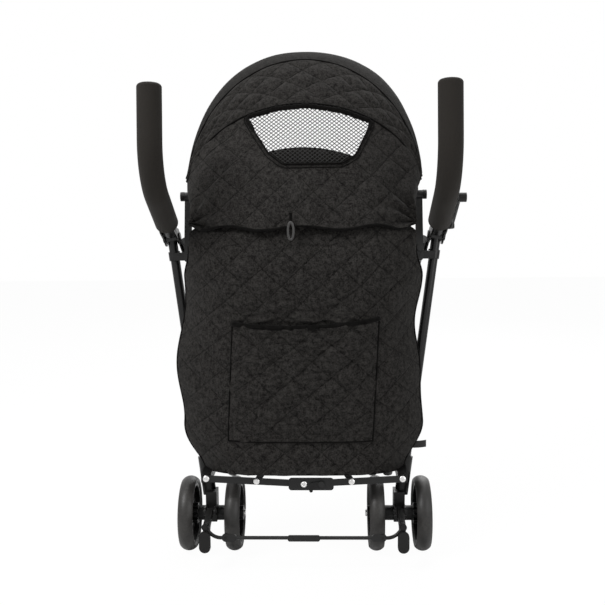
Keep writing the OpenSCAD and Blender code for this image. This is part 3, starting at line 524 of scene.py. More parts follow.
def plastic_finish(name, tone, roughness, dusty=0.05):
    """Moulded plastic: sparkling grain, patches of wear in the gloss and a little dust."""
    material, tree, shader, where = start_material(name, roughness, Specular_IOR_Level=0.2)
    grain = use(tree, moulded_grain, Vector=where, Scale=1100.0)
    worn = dusted(tree, where, dusty, two_tones(tree, grain["Patch"], tone, 0.7, 1.3, 0.02), 0.09)
    vary_gloss(tree, shader, grain["Patch"], roughness - 0.08, roughness + 0.1)
    dress(tree, shader, worn, grain["Height"], 0.25, 0.0003)
    return material


def foam_finish(name, tone):
    """Closed-cell foam: fine pores at two sizes and a dull, slightly brown skin."""
    material, tree, shader, where = start_material(name, 0.78, Sheen_Weight=0.04, Sheen_Roughness=0.5,
                                                   Specular_IOR_Level=0.06)
    pores = add(tree, "TexVoronoi", {"Vector": where, "Scale": 750.0}).outputs["Distance"]
    specks = noise(tree, where, 420.0, 4.0, 0.7)
    dress(tree, shader, two_tones(tree, specks, tone, 0.72, 1.3, 0.12), calc(tree, "ADD", pores, specks),
          0.5, 0.0005)
    return material


def rubber_finish(name, tone):
    """Tyre rubber: a brown-black with a film of pale dust and fine scuffs."""
    material, tree, shader, where = start_material(name, 0.42, Specular_IOR_Level=0.3)
    grain = use(tree, moulded_grain, Vector=where, Scale=520.0)
    worn = dusted(tree, where, 0.2, two_tones(tree, grain["Patch"], tone, 0.75, 1.25, 0.05), 0.1)
    dress(tree, shader, worn, grain["Height"], 0.3, 0.0004)
    return material


def metal_finish(name, tone, roughness):
    """Bright steel: fine scratches from stretched noise that vary the gloss."""
    material, tree, shader, where = start_material(name, roughness, Metallic=1.0)
    long = add(tree, "Mapping", {"Vector": where, "Scale": (60.0, 900.0, 900.0)}).outputs[0]
    scratch = noise(tree, long, 1.0, 5.0)
    vary_gloss(tree, shader, scratch, roughness - 0.1, roughness + 0.15)
    dress(tree, shader, two_tones(tree, scratch, tone, 0.8, 1.15, 0.01), scratch, 0.15, 0.0002)
    return material


tube_paint = painted_finish("satin_tube_paint", 0.006, 0.28)
bar_paint = painted_finish("satin_bar_paint", 0.006, 0.32)
bracket_steel = metal_finish("bracket_steel", 0.03, 0.3)
bright_steel = metal_finish("bright_steel", 0.62, 0.25)
black_plastic = plastic_finish("moulded_black_plastic", 0.005, 0.34)
rim_plastic = plastic_finish("rim_plastic", 0.004, 0.32)
grip_foam = foam_finish("grip_foam", 0.017)
tyre_rubber = rubber_finish("tyre_rubber", 0.014)

FINISH_OF = [
    (tube_paint, "rear_leg front_tube handle_tube"),
    (bar_paint, "brace_bar lock_link brake_rod"),
    (bracket_steel, "brace_bracket"),
    (bright_steel, "brace_hub_pin rear_axle front_axle"),
    (grip_foam, "foam_grip"),
    (tyre_rubber, "outer_rear_tyre inner_rear_tyre front_tyres"),
    (rim_plastic, "outer_rear_rim inner_rear_rim front_rims"),
    (black_plastic, "wheel_housing handle_clevis caster lock_latch brake_pedal canopy_knob"),
    (black_plastic, "transport_hook harness_buckle"),
]
for title, thing in nodes.items():
    for finish, starts in FINISH_OF:
        if title.startswith(tuple(starts.split())):
            thing.data.materials.clear()
            thing.data.materials.append(finish)
print("finishes", len(bpy.data.materials))

# %% [markdown]
# ## Quilting
# Two layers of cloth with wadding between them are sewn along crossing diagonals. Each diamond swells
# between its seams. Two slanted coordinates describe it: both are whole numbers on the seams, so the
# same pair shapes the mesh and draws the stitches, which are darkened with painted shade. A slow wander
# keeps the seams from looking ruled.

# %% Quilt functions
QUILT_W, QUILT_H = 73.0, 65.0


def quilt_coords(x, z, seed, wander=3.0):
    """Diamond coordinates: x over width plus and minus z over height, with x and z nudged by noise."""
    x = x + wander * soft_noise(x / 55, z / 55, seed)
    z = z + wander * soft_noise(x / 55, z / 55, seed + 5)
    return x / QUILT_W + z / QUILT_H, x / QUILT_W - z / QUILT_H


def pillow(a, b, sharp=0.55):
    """Swell of a diamond: the product of two sine humps, raised to a power below one."""
    return (np.abs(np.sin(np.pi * a)) * np.abs(np.sin(np.pi * b))) ** sharp


def pucker(a, b, x, z, seed):
    """Small gathers that run out from the seams, strongest at the seams."""
    near = 1 - np.minimum(1, 3.2 * np.minimum(np.abs(np.sin(np.pi * a)), np.abs(np.sin(np.pi * b))))
    return near * soft_noise(x / 7, z / 7, seed)


def raised(grid, rise):
    """Moves a grid along its unit normals, the column step crossed with the row step, by a rise."""
    normal = np.cross(np.gradient(grid, axis=1), np.gradient(grid, axis=0))
    normal = normal / np.maximum(np.linalg.norm(normal, axis=-1, keepdims=True), 1e-9)
    return grid + normal * rise[..., None]


def piping(name, path, wide, tall, material=hem_tape, closed=False, **rings):
    """A tube along a path, in hem tape unless another finish is given."""
    return tube_object(name, tube_along(path, wide, tall, closed=closed, **rings), material, closed)


def two_maps(u, v, a, b):
    """The cloth map in metres and the quilting map."""
    return {"cloth": pair(u * MM, v * MM), "quilt": pair(a, b)}


# %% [markdown]
# ## How the soft goods travel
# When the frame folds, the right side comes over to the left and the cloth between them gathers. Each soft
# piece rides on the body that carries it, and with a gather setting gets its own copy of its mesh. The
# settings below describe a sideways squeeze for each: towards the left leg; towards a line further in for
# the seat, because the front tubes close on it from both sides; and more for the hood than the back panel,
# to stay between its knobs. The foot strap rides on the left front tube, and the small tab on the right leg.

# %% Riding, and gather settings
TO_LEG = {"anchor": (-0.238, 0.0, 0.0), "keep": 0.4}
TO_KNOB = {"anchor": (-0.238, 0.0, 0.0), "keep": 0.335}
TO_SEAT = {"anchor": (-0.2, 0.0, 0.0), "keep": 0.3}


def settle(piece, body, replaced=(), gather=TO_LEG):
    """Puts a finished piece on its body, hides what it stands for and, with a gather, gives it its own mesh
    copy.
    """
    if replaced:
        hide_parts(*replaced)
    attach(piece, body)
    if gather:
        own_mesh(piece)


# %% [markdown]
# ## The back panel
# It hangs behind the seat from the hood to the lock bar, with its edges behind the leg tubes. The surface
# is a function of a place across, from -1 to 1, and a height. Its middle hangs back in a flat trough, the
# quilting swells outwards, and horizontal creases gather where the cloth is slack.

# %% Back panel surface
FOOT_X, AXLE_Z, TUBE_R = 190.5, 75.0, 9.5
FLARE, LEAN = math.radians(8.2), math.radians(7.0)
PANEL_LOW, PANEL_HIGH, PANEL_BACK = 184.0, 684.0, 88.0
HEM_Z, CORNER_DROP = 660.0, 14.0


def leg_at(z):
    """Sideways and forward place of a leg's axis at a height: both grow in step with the height."""
    along = (z - AXLE_Z) / (math.cos(LEAN) * math.cos(FLARE))
    return FOOT_X + along * math.cos(LEAN) * math.sin(FLARE), along * math.sin(LEAN)


def above_legs(z):
    """0 where the panel follows the legs, 1 where it follows the hood."""
    return smooth((z - 480) / 150)


def panel_width(z):
    """Half width: drawn in at the bottom corners, past the leg tubes above, and narrower under the hood."""
    return (FOOT_X + 10 + 36 * smooth((z - PANEL_LOW) / 85) - 12 * smooth((z - HEM_Z + 100) / 55)
            - 24 * smooth((z - HEM_Z + 14) / 24))


def panel_sway(u, z):
    """Sideways hang of the loose edges: the left one bellies out low, the right one draws in higher up."""
    left = 22 * np.exp(-((z - 385) / 85) ** 2) + 9 * np.exp(-((z - 235) / 35) ** 2)
    right = -12 * np.exp(-((z - 455) / 75) ** 2) - 2 * np.sin(z / 23)
    return np.where(u < 0, -left, right) * np.abs(u) ** 3


def panel_depth(u, z):
    """Forward place: from the edge behind the leg to the trough, by one minus u to the fourth power."""
    edge = mix(leg_at(z)[1] - TUBE_R - 8, -10, above_legs(z))
    deep = -PANEL_BACK + 34 * smooth((z - PANEL_HIGH + 100) / 100)
    return mix(edge, deep, 1 - np.abs(u) ** 4)


def panel_point(u, z, d):
    """A point d behind the panel's own surface, less near the edges, whose bottom corners hang lower."""
    droop = CORNER_DROP * u ** 4 * (1 - smooth((z - PANEL_LOW) / 120))
    return xyz(u * panel_width(z) + panel_sway(u, z), panel_depth(u, z) - d * (1 - 0.6 * u ** 8), z - droop)


def slack(u, z):
    """Where the panel is slack: a band above the pocket and the low middle."""
    band = np.exp(-((z - 500) / 55) ** 2) * np.exp(-(u / 0.6) ** 4)
    low = 0.5 * np.exp(-((z - 330) / 110) ** 2) * np.exp(-(u / 0.7) ** 4)
    sides = 0.35 * smooth((np.abs(u) - 0.6) / 0.35)
    return np.clip(band + low + sides, 0, 1)


panel_u, panel_z = np.meshgrid(ramp(-1, 1, 200), ramp(PANEL_LOW, PANEL_HIGH, 240))
panel_x = panel_u * panel_width(panel_z)
panel_a, panel_b = quilt_coords(panel_x, panel_z, 3)
panel_swell = 1 + 6.0 * pillow(panel_a, panel_b) + 1.6 * pucker(panel_a, panel_b, panel_x, panel_z, 11)
panel_swell += 4.6 * slack(panel_u, panel_z) * (crease_noise(panel_x / 46, panel_z / 15, 21) - 0.4)
panel_swell += 2.2 * soft_noise(panel_x / 90, panel_z / 80, 31)
panel_swell = np.maximum(panel_swell, 0.4)
back_panel = pad_object("back_panel_quilt", panel_point(panel_u, panel_z, panel_swell),
                        panel_point(panel_u, panel_z, -1.0), quilted_cloth,
                        two_maps(panel_x, panel_z, panel_a, panel_b))
settle(back_panel, "left_frame", ["back_panel"])

SIDE_STEPS, LOW_STEPS = 70, 90
side_u, side_z = np.ones(SIDE_STEPS), ramp(PANEL_HIGH - 60, PANEL_LOW + 1, SIDE_STEPS)
hem_u = np.concatenate([-side_u, ramp(-1, 1, LOW_STEPS + 2)[1:-1], side_u])
hem_z = np.concatenate([side_z, np.full(LOW_STEPS, PANEL_LOW + 1.0), side_z[::-1]])
panel_hem = piping("back_panel_hem", panel_point(hem_u, hem_z, 1.0), 2.4, 2.4, up=(0, 1, 0.2))
settle(panel_hem, "left_frame")
print("back panel faces", len(back_panel.data.polygons))

# %% [markdown]
# ## The back pocket
# A patch of the same quilt, sewn to the panel along its sides and bottom. Its mouth sags and stands away
# from the panel, and a folded hem stiffens it.

# %% Pocket surface
POCKET_LOW, POCKET_HIGH, POCKET_HALF = 250.0, 490.0, 140.0


def pocket_point(t, k, d):
    """A point of the pocket: t up from its bottom seam, k across, d behind the quilted panel."""
    z = mix(POCKET_LOW, POCKET_HIGH, t) - 14 * t ** 3 * (1 - (k + 0.2) ** 2 / 1.44)
    x = k * POCKET_HALF + mix(-6, 7, t)
    u = x / panel_width(z)
    return xyz(x, panel_depth(u, z) - d * (1 - 0.6 * u ** 8), z)


pocket_t, pocket_k = grid_of(ramp(0, 1, 120), ramp(-1, 1, 140))
pocket_x, pocket_z = pocket_k * POCKET_HALF, mix(POCKET_LOW, POCKET_HIGH, pocket_t)
pocket_a, pocket_b = quilt_coords(pocket_x + 20, pocket_z + 12, 43)
rim_in = np.minimum(1, 9 * pocket_t) * np.minimum(1, 9 * (1 - np.abs(pocket_k)))
pocket_rise = 6.2 + rim_in * (5.5 * np.sin(np.pi * mix(0.12, 0.8, pocket_t)) * (1 - pocket_k ** 4)
                              + 5.2 * pillow(pocket_a, pocket_b))
pocket_rise += 1.5 * rim_in * pucker(pocket_a, pocket_b, pocket_x, pocket_z, 13)
pocket_rise += 3.6 * rim_in * (crease_noise(pocket_x / 50, pocket_z / 14, 51) - 0.35)
pocket_grid = pocket_point(pocket_t, pocket_k, pocket_rise)
pocket = sheet_object("back_pocket_patch", pocket_grid, quilted_cloth,
                      two_maps(pocket_x, pocket_z, pocket_a, pocket_b), thick=2.4)
pocket_hem = piping("back_pocket_hem", pocket_grid[-1] + [0, -1.2, -3.0], 4.6, 2.4)
sew_path = np.concatenate([pocket_grid[:0:-1, 0], pocket_grid[0], pocket_grid[1:, -1]])
pocket_seam = piping("back_pocket_seam", sew_path + [0, -0.4, 0], 1.6, 1.2)
settle(pocket, "left_frame", ["back_pocket"])
settle(pocket_hem, "left_frame")
settle(pocket_seam, "left_frame")
print("pocket", pocket.name, len(pocket.data.polygons))

# %% [markdown]
# ## The hood
# Three cloth panels hang from two bows that turn about the side knobs. The arches are half superellipses:
# an angle runs across each from hinge to hinge, and its reach and tilt change from panel to panel.

# %% Hood surfaces
HINGE = np.array([0.0, 69.71, 721.03])
HOOD_W, CANOPY_W, BOW_SQUARE = 238.0, 226.0, 2.7
REAR_REACH, MID_REACH, FRONT_REACH, HOOD_LEAN = 184.0, 277.0, 382.0, 3.0
REAR_TILT, MID_TILT, BOW_TILT = -14.0, 7.3, 42.5
PHI_EDGE = 9.0


def arch(wide, reach, tilt, phi, power=2.0):
    """A point of a hood arch, half a superellipse: at power 2 an ellipse, above it with square shoulders.

    The cosine and sine of phi are divided by the root of the sum of their powers, then stretched to the
    width and the reach. The hood leans to the right above its hinges.
    """
    phi, tilt = np.radians(phi), np.radians(tilt)
    size = (np.abs(np.cos(phi)) ** power + np.sin(phi) ** power) ** (1 / power)
    lift = reach * np.sin(phi) / size
    lean = HOOD_LEAN * smooth(lift / 80)
    return HINGE + xyz(wide * np.cos(phi) / size + lean, lift * np.sin(tilt), lift * np.cos(tilt))


def rear_hood(t, phi):
    """The rear panel: t runs from the wavy hem to the rear seam, with a bulge to the back."""
    turn = np.radians(phi)
    hem = xyz((CANOPY_W - 6) * np.cos(turn), 40 - (PANEL_BACK + 34) * np.sin(turn) ** 0.6,
              HEM_Z + 4 * np.sin(9 * turn))
    bulge = 14 * np.sin(np.pi * t) * np.sin(turn)
    return mix(hem, arch(HOOD_W, REAR_REACH, REAR_TILT, phi), t[..., None]) - xyz(0, bulge, 0)


def hood_at(x, z):
    """Finds t and phi of the rear panel's point that shows at x and z, by Newton steps."""
    phi = np.degrees(np.arccos(np.clip(x / HOOD_W, -0.98, 0.98)))
    t = np.full(np.shape(x), 0.6)
    step = 1e-3
    for _ in range(14):
        here = rear_hood(t, phi)
        by_t, by_phi = (rear_hood(t + step, phi) - here) / step, (rear_hood(t, phi + step) - here) / step
        miss_x, miss_z = x - here[..., 0], z - here[..., 2]
        det = by_t[..., 0] * by_phi[..., 2] - by_phi[..., 0] * by_t[..., 2]
        t = t + (miss_x * by_phi[..., 2] - by_phi[..., 0] * miss_z) / det
        phi = phi + (by_t[..., 0] * miss_z - miss_x * by_t[..., 2]) / det
        t, phi = np.clip(t, 0.0, 1.0), np.clip(phi, PHI_EDGE, 180 - PHI_EDGE)
    return t, phi


# %% [markdown]
# The window is cut from the rear panel. Its outline is drawn as seen from behind. Faces inside it are
# left out, a sewn band hides the cut edge, and a net of fine crossing threads is stretched over the hole.

# %% Window outline
WINDOW_STEPS = 220
WINDOW = [0, HINGE[2]] + REAR_REACH * np.array([
    [-0.19, 0.33], [0.42, 0.335], [0.555, 0.41], [0.74, 0.765], [0.418, 0.88], [0.06, 0.935],
    [-0.255, 0.91], [-0.585, 0.825], [-0.337, 0.446]])


def inward_sides(outline):
    """Unit vectors square to the edges of an outline that runs anticlockwise, pointing inside."""
    along = np.roll(outline, -1, axis=0) - outline
    return unit(pair(-along[:, 1], along[:, 0]))


def edge_distance(x, z, outline):
    """Signed distance to a convex anticlockwise outline: positive inside, in the same units."""
    inward = inward_sides(outline)
    return np.min((x[..., None] - outline[:, 0]) * inward[:, 0]
                  + (z[..., None] - outline[:, 1]) * inward[:, 1], axis=-1)


def round_outline(outline, count, passes):
    """A closed outline at equal steps, with its corners eased by repeated averaging."""
    ring = np.concatenate([outline, outline[:1]])
    length = np.concatenate([[0], np.cumsum(np.linalg.norm(np.diff(ring, axis=0), axis=1))])
    at = ramp(0, length[-1], count + 1)[:-1]
    line = np.stack([np.interp(at, length, ring[:, axis]) for axis in (0, 1)], axis=-1)
    for _ in range(passes):
        line = (np.roll(line, 1, axis=0) + 2 * line + np.roll(line, -1, axis=0)) / 4
    return line


def grow_outline(line, by):
    """Moves each point of an anticlockwise outline outward, square to the step between its neighbours."""
    step = np.roll(line, -1, axis=0) - np.roll(line, 1, axis=0)
    return line + by * unit(pair(step[:, 1], -step[:, 0]))


window_line = round_outline(WINDOW, WINDOW_STEPS, 6)
print("window width", np.ptp(window_line[:, 0]))

# %% Rear panel, band and net
CORNER_X, CORNER_Z = 215, 668
hood_t, hood_phi = grid_of(ramp(0, 1, 150), ramp(180 - PHI_EDGE, PHI_EDGE, 230))
hood_grid = rear_hood(hood_t, hood_phi)
hood_x, hood_z = hood_grid[..., 0], hood_grid[..., 2]
hood_a, hood_b = quilt_coords(hood_x + 12, hood_z + 20, 61)
inside = edge_distance(hood_x, hood_z, WINDOW)
flat_near = smooth((-inside - 6) / 30)
from_side, from_low = CORNER_X - np.abs(hood_x), hood_z - CORNER_Z
corner, corner_turn = np.hypot(from_side, from_low), np.arctan2(from_low, from_side)
hood_rise = 2.8 * flat_near * pillow(hood_a, hood_b) + 1.0 * pucker(hood_a, hood_b, hood_x, hood_z, 63)
hood_rise += (4.5 * np.exp(-(corner / 75) ** 2)
              * np.sin(9 * corner_turn + 2 * soft_noise(hood_x / 40, hood_z / 40, 67)))
hood_rise += 2.4 * flat_near * soft_noise(hood_x / 75, hood_z / 60, 69)
hood_rise += (1.6 * smooth(1 - hood_t / 0.3)
              * np.sin(hood_x / 13 + 2 * soft_noise(hood_x / 50, hood_z / 30, 71)))
hood_kept = (inside[:-1, :-1] + inside[1:, :-1] + inside[:-1, 1:] + inside[1:, 1:]) / 4 < -0.5
hood_rear = sheet_object("canopy_rear_panel", raised(hood_grid, hood_rise), hood_cloth,
                         two_maps(hood_x, hood_z, hood_a, hood_b), thick=2.0, keep=hood_kept)


def window_path(grow, back):
    """A closed path on the rear panel: the window's outline grown by some way and moved to the rear."""
    line = grow_outline(window_line, grow)
    return rear_hood(*hood_at(line[:, 0], line[:, 1])) + [0, -back, 0]


at_top = smooth((window_line[:, 1] - HINGE[2] - 120) / 20)
at_step = np.arange(WINDOW_STEPS)
ruffle = 1 + 0.16 * at_top * np.sin(at_step * 1.9) + 0.1 * soft_noise(at_step / 2.0, 0 * at_top, 73)
window_band = piping("canopy_window_band", window_path(2.0, 1.6), mix(1.8, 4.8, at_top) * ruffle,
                     1.8 * ruffle, closed=True)
window_seam = piping("canopy_window_seam", window_path(9.0, 1.0), 0.9, 0.9, closed=True, around=8)

THREAD_PITCH, THREAD_R, THREAD_STEPS, THREAD_SLANT = 5.8, 0.72, 26, math.radians(38)


def net_threads(slope):
    """Threads at one slant: straight lines clipped to the window, then laid on the hood's surface."""
    direction = np.array([math.cos(slope), math.sin(slope)])
    across = np.array([-direction[1], direction[0]])
    foot = WINDOW.mean(axis=0) + np.arange(-150, 150, THREAD_PITCH)[:, None] * across
    inward = inward_sides(WINDOW)
    gain = inward @ direction
    hit = -np.einsum("ek,nek->ne", inward, foot[:, None] - WINDOW) / gain
    enter = np.max(np.where(gain > 0, hit, -1e9), axis=1)
    leave = np.min(np.where(gain < 0, hit, 1e9), axis=1)
    crosses = leave - enter > 6
    at = mix(enter[crosses, None], leave[crosses, None], ramp(0, 1, THREAD_STEPS))
    line = foot[crosses, None] + at[..., None] * direction
    return rear_hood(*hood_at(line[..., 0], line[..., 1]))


def thread_mesh(paths, radius, lift):
    """Square tubes round many paths at once: four points round each path point."""
    out = np.broadcast_to([0.0, -1.0, 0.0], paths.shape)
    side = unit(np.cross(unit(np.gradient(paths, axis=1)), out))
    points = (paths + lift * out)[:, :, None] + radius * np.stack([side, out, -side, -out], axis=2)
    count, steps = paths.shape[:2]
    ends = np.array([[3, 2, 1, 0], [0, 1, 2, 3]]) + [[0], [(steps - 1) * 4]]
    one = np.concatenate([grid_faces(steps, 4, ring=True), ends])
    return points.reshape(-1, 3), (one + (np.arange(count) * steps * 4)[:, None, None]).reshape(-1, 4)


net_up, net_up_faces = thread_mesh(net_threads(THREAD_SLANT), THREAD_R, 0.35)
net_down, net_down_faces = thread_mesh(net_threads(-THREAD_SLANT), THREAD_R, -0.35)
net_thread = plastic_finish("net_thread", 0.02, 0.5, dusty=0.0)
window_net = mesh_object("canopy_window_net", np.concatenate([net_up, net_down]),
                         np.concatenate([net_up_faces, net_down_faces + len(net_up)]), net_thread)
face_outward(window_net)
print("net threads", len(window_net.data.polygons))

# %% [markdown]
# The quilted top panel joins the rear seam to the middle bow, and the smooth front panel runs on to the
# front bow. Piped seams hide the joins. The bows are thin plastic strips under the cloth.

# %% Top, front, seams and bows
TOP_LONG, FRONT_LONG = 150, 230
hood_angles = ramp(180 - PHI_EDGE, PHI_EDGE, 260)
strip_t, strip_phi = grid_of(ramp(0, 1, 70), hood_angles)
strip_mid = np.sin(np.pi * strip_t)


def along_arch(line):
    """Arc length from the middle of a line, on every row of a strip, for patterns that follow the cloth."""
    length = np.concatenate([[0], np.cumsum(np.linalg.norm(np.diff(line, axis=0), axis=1))])
    return np.broadcast_to(length - length[-1] / 2, strip_t.shape)


top_v = TOP_LONG * strip_t
top_grid = arch(HOOD_W + 2, mix(REAR_REACH, MID_REACH, strip_t),
                mix(REAR_TILT + 0.3, MID_TILT - 0.2, strip_t), strip_phi)
top_s = along_arch(arch(HOOD_W, MID_REACH, 0, hood_angles))
top_a, top_b = quilt_coords(top_s, top_v + 18, 81)
top_rise = strip_mid ** 0.5 * (5.4 * pillow(top_a, top_b, 0.7) + 1.4 * pucker(top_a, top_b, top_s, top_v, 83))
top_rise -= 5 * strip_mid * np.sin(np.radians(strip_phi))
hood_top = sheet_object("canopy_top_quilt", raised(top_grid, top_rise), hood_cloth,
                        two_maps(top_s, top_v, top_a, top_b), thick=2.4)

front_v = FRONT_LONG * strip_t
front_grid = arch(HOOD_W + 4, mix(MID_REACH, FRONT_REACH, strip_t) + 10 * strip_mid,
                  mix(MID_TILT, BOW_TILT, strip_t) + 0.2, strip_phi, mix(2, BOW_SQUARE, strip_t))
front_s = along_arch(arch(HOOD_W, FRONT_REACH, 0, hood_angles, BOW_SQUARE))
front_a, front_b = quilt_coords(front_s, front_v, 91)
front_rise = 0.9 * soft_noise(front_s / 60, front_v / 120, 93) * strip_mid
front_rise += 1.2 * np.exp(-((180 - np.abs(strip_phi - 90) * 2) / 60) ** 2) * np.sin(front_v / 9)
hood_front = sheet_object("canopy_front_panel", raised(front_grid, front_rise), band_cloth,
                          two_maps(front_s, front_v, front_a, front_b), thick=2.0)


def arch_piping(name, wide, reach, tilt, radius, power=2.0):
    """A round piping along one arch, from edge to edge."""
    path = arch(wide, reach, tilt, ramp(180 - PHI_EDGE, PHI_EDGE, 120), power)
    return piping(name, path, radius, radius, up=(0, 1, 0.2))


rear_piping = arch_piping("canopy_rear_piping", HOOD_W + 0.5, REAR_REACH + 0.5, REAR_TILT, 2.2)
middle_piping = arch_piping("canopy_middle_piping", HOOD_W + 3, MID_REACH + 0.5, MID_TILT, 2.4)
front_piping = arch_piping("canopy_front_piping", HOOD_W + 4, FRONT_REACH, BOW_TILT, 3.0, BOW_SQUARE)
BOW_END, BOW_HALF, BOW_HALF_T = 6.5, 4.5, 1.6


def bow_strip(name, wide, reach, tilt, power):
    """A flat plastic strip bent along an arch, from one knob to the other."""
    low = math.degrees(math.asin(BOW_END / reach))
    path = arch(wide, reach, tilt, ramp(180 - low, low, 90), power)
    return face_outward(piping(name, path, BOW_HALF, BOW_HALF_T, black_plastic, around=12, up=path - HINGE))


middle_bow = bow_strip("canopy_middle_bow", CANOPY_W - 6.5, MID_REACH - 8.5, MID_TILT, 2.0)
front_bow = bow_strip("canopy_front_bow", CANOPY_W - 1.5, FRONT_REACH - 7.5, BOW_TILT, BOW_SQUARE)
hem_path = rear_hood(np.zeros(160), ramp(180 - PHI_EDGE, PHI_EDGE, 160)) + [0, -0.6, 0]
hood_hem = piping("canopy_rear_hem", hem_path, 2.6, 2.6, up=(0, 0, 1))

# %% Toggle on the hem and strap tab at the leg
TOGGLE_AT, TOGGLE_HALF, TOGGLE_TALL = np.array([-19.0, -94.0, 655.0]), 5.2, 16.0
toggle_turn = ramp(0, 2 * math.pi, 49)[:-1]
toggle_ring = TOGGLE_AT + xyz(TOGGLE_HALF * np.cos(toggle_turn), 0, TOGGLE_TALL * np.sin(toggle_turn))
toggle_plastic = plastic_finish("grey_toggle_plastic", 0.045, 0.35, dusty=0.0)
toggle = face_outward(piping("canopy_toggle", toggle_ring, 2.3, 2.3, toggle_plastic, closed=True))
loop_k = ramp(0, 1, 12)
loop_path = TOGGLE_AT + xyz(0, 4 * np.sin(np.pi * loop_k) + 3, mix(14, 34, loop_k))
toggle_loop = piping("canopy_toggle_loop", loop_path, 3.0, 0.8)
TAB_LOW, TAB_LONG, TAB_HALF = np.array([206.0, 9.0, 216.0]), 40.0, 7.0
tab_e, tab_k = grid_of(ramp(-1, 1, 9), ramp(0, 1, 24))
tab_grid = TAB_LOW + xyz(TAB_LONG * tab_k, -9 * np.sin(2.2 * tab_k), TAB_HALF * tab_e + 4 * tab_k)
strap_tab = pad_object("leg_strap_tab", tab_grid, tab_grid + [0, 2.0, 0], webbing,
                       {"cloth": pair(tab_e * TAB_HALF * MM, tab_k * TAB_LONG * MM)})
settle(face_outward(strap_tab), "right_frame", gather=None)

settle(hood_rear, "left_frame", ["canopy_rear"], TO_KNOB)
settle(window_net, "left_frame", ["window_net"], TO_KNOB)
for piece in (window_band, window_seam, rear_piping, hood_hem, toggle_loop):
    settle(piece, "left_frame", gather=TO_KNOB)
settle(toggle, "left_frame", gather=TO_KNOB)
settle(hood_top, "canopy_middle", ["canopy_top"], TO_KNOB)
settle(middle_piping, "canopy_middle", gather=TO_KNOB)
settle(middle_bow, "canopy_middle", ["middle_bow"], TO_KNOB)
settle(hood_front, "canopy_front", ["canopy_front"], TO_KNOB)
settle(front_piping, "canopy_front", gather=TO_KNOB)
settle(front_bow, "canopy_front", ["front_bow"], TO_KNOB)

# %% [markdown]
# ## The seat, harness and foot strap
# The seat is one pad that runs down the backrest, round the crease and forward. A cubic Bezier curve in
# the side view carries it, and the wadding swells along the curve's normal between the quilted seams.

# %% Seat surface
SEAT_CURVE = np.array([[0, 811], [30, 400], [60, 330], [330, 362]], float)
SEAT_HALF, SEAT_FRONT_HALF, SEAT_T = 160.0, 195.7, 24.0


def seat_line(t):
    """Cubic Bezier in the side view: back top, two crease handles and the front edge."""
    t = np.asarray(t, float)[..., None]
    return ((1 - t) ** 3 * SEAT_CURVE[0] + 3 * (1 - t) ** 2 * t * SEAT_CURVE[1]
            + 3 * (1 - t) * t ** 2 * SEAT_CURVE[2] + t ** 3 * SEAT_CURVE[3])


def seat_normal(t):
    """Unit normal of the curve: its step turned a quarter, to the sitter's side."""
    step = seat_line(np.minimum(1, t + 0.01)) - seat_line(np.maximum(0, t - 0.01))
    return unit(pair(-step[..., 1], step[..., 0]))


def seat_half(t):
    """Half width: rounded and a little narrower at the head, and wider at the front edge."""
    head = 1 - 0.3 * (1 - np.minimum(1, t / 0.1)) ** 2
    return mix(head * mix(SEAT_HALF - 12, SEAT_HALF, smooth(2 * t)), SEAT_FRONT_HALF, smooth((t - 0.75) * 4))


def seat_point(t, x, d):
    """A point of the seat at t along the curve, x across and d off the curve."""
    at = seat_line(t) + np.asarray(d)[..., None] * seat_normal(t)
    return xyz(x, at[..., 0], at[..., 1])


SEAT_LONG = 900
seat_t, seat_k = grid_of(ramp(0, 1, 220), ramp(-1, 1, 110))
seat_along = SEAT_LONG * seat_t
seat_x = seat_k * seat_half(seat_t)
seat_bend = np.clip(seat_t + 0.016 * np.exp(-(seat_t / 0.1) ** 2) * seat_k ** 2, 0, 1)
seat_a, seat_b = quilt_coords(seat_x, seat_along, 101)
seat_edge = 1 - np.abs(seat_k) ** 8
seat_swell = SEAT_T * (0.45 + 0.32 * seat_edge)
seat_swell += seat_edge * (4.2 * pillow(seat_a, seat_b)
                           + 0.8 * pucker(seat_a, seat_b, seat_x, seat_along, 103))
seat_front = seat_point(seat_bend, seat_x, seat_swell)
seat_back = seat_point(seat_bend, seat_x, 0 * seat_swell)
seat_pad = pad_object("seat_quilt", seat_front, seat_back, lining_cloth,
                      two_maps(seat_x, seat_along, seat_a, seat_b))
settle(seat_pad, "left_frame", ["seat_pad"], TO_SEAT)
seat_rim = (seat_front + seat_back) / 2
edge_path = np.concatenate([seat_rim[:, 0], seat_rim[-1, 1:-1], seat_rim[::-1, -1], seat_rim[0, -2:0:-1]])
seat_piping = piping("seat_piping", edge_path[::2], 3.0, 3.0, closed=True, up=(0.31, 0.62, 0.72))
settle(face_outward(seat_piping), "left_frame", gather=TO_SEAT)


def strap_object(name, t0, t1, x0, x1, half=12.0):
    """A flat strap on the seat, from t0 to t1 along it, with its middle from x0 to x1."""
    k, e = grid_of(ramp(0, 1, 60), ramp(-1, 1, 7))
    t, x = mix(t0, t1, k), mix(x0, x1, k) + e * half
    lift = SEAT_T + 2.4 - 0.5 * e ** 6
    cloth = {"cloth": pair(e * half * MM, k * (t1 - t0) * SEAT_LONG * MM)}
    return pad_object(name, seat_point(t, x, lift), seat_point(t, x, 0 * e + SEAT_T + 0.4), webbing, cloth)


straps = [strap_object("harness_strap_left", 0.12, 0.5, -62, -14),
          strap_object("harness_strap_right", 0.12, 0.5, 62, 14),
          strap_object("harness_strap_crotch", 0.57, 0.76, 0, 0)]
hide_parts("harness_straps")
for strap in straps:
    settle(strap, "left_frame", gather=TO_SEAT)

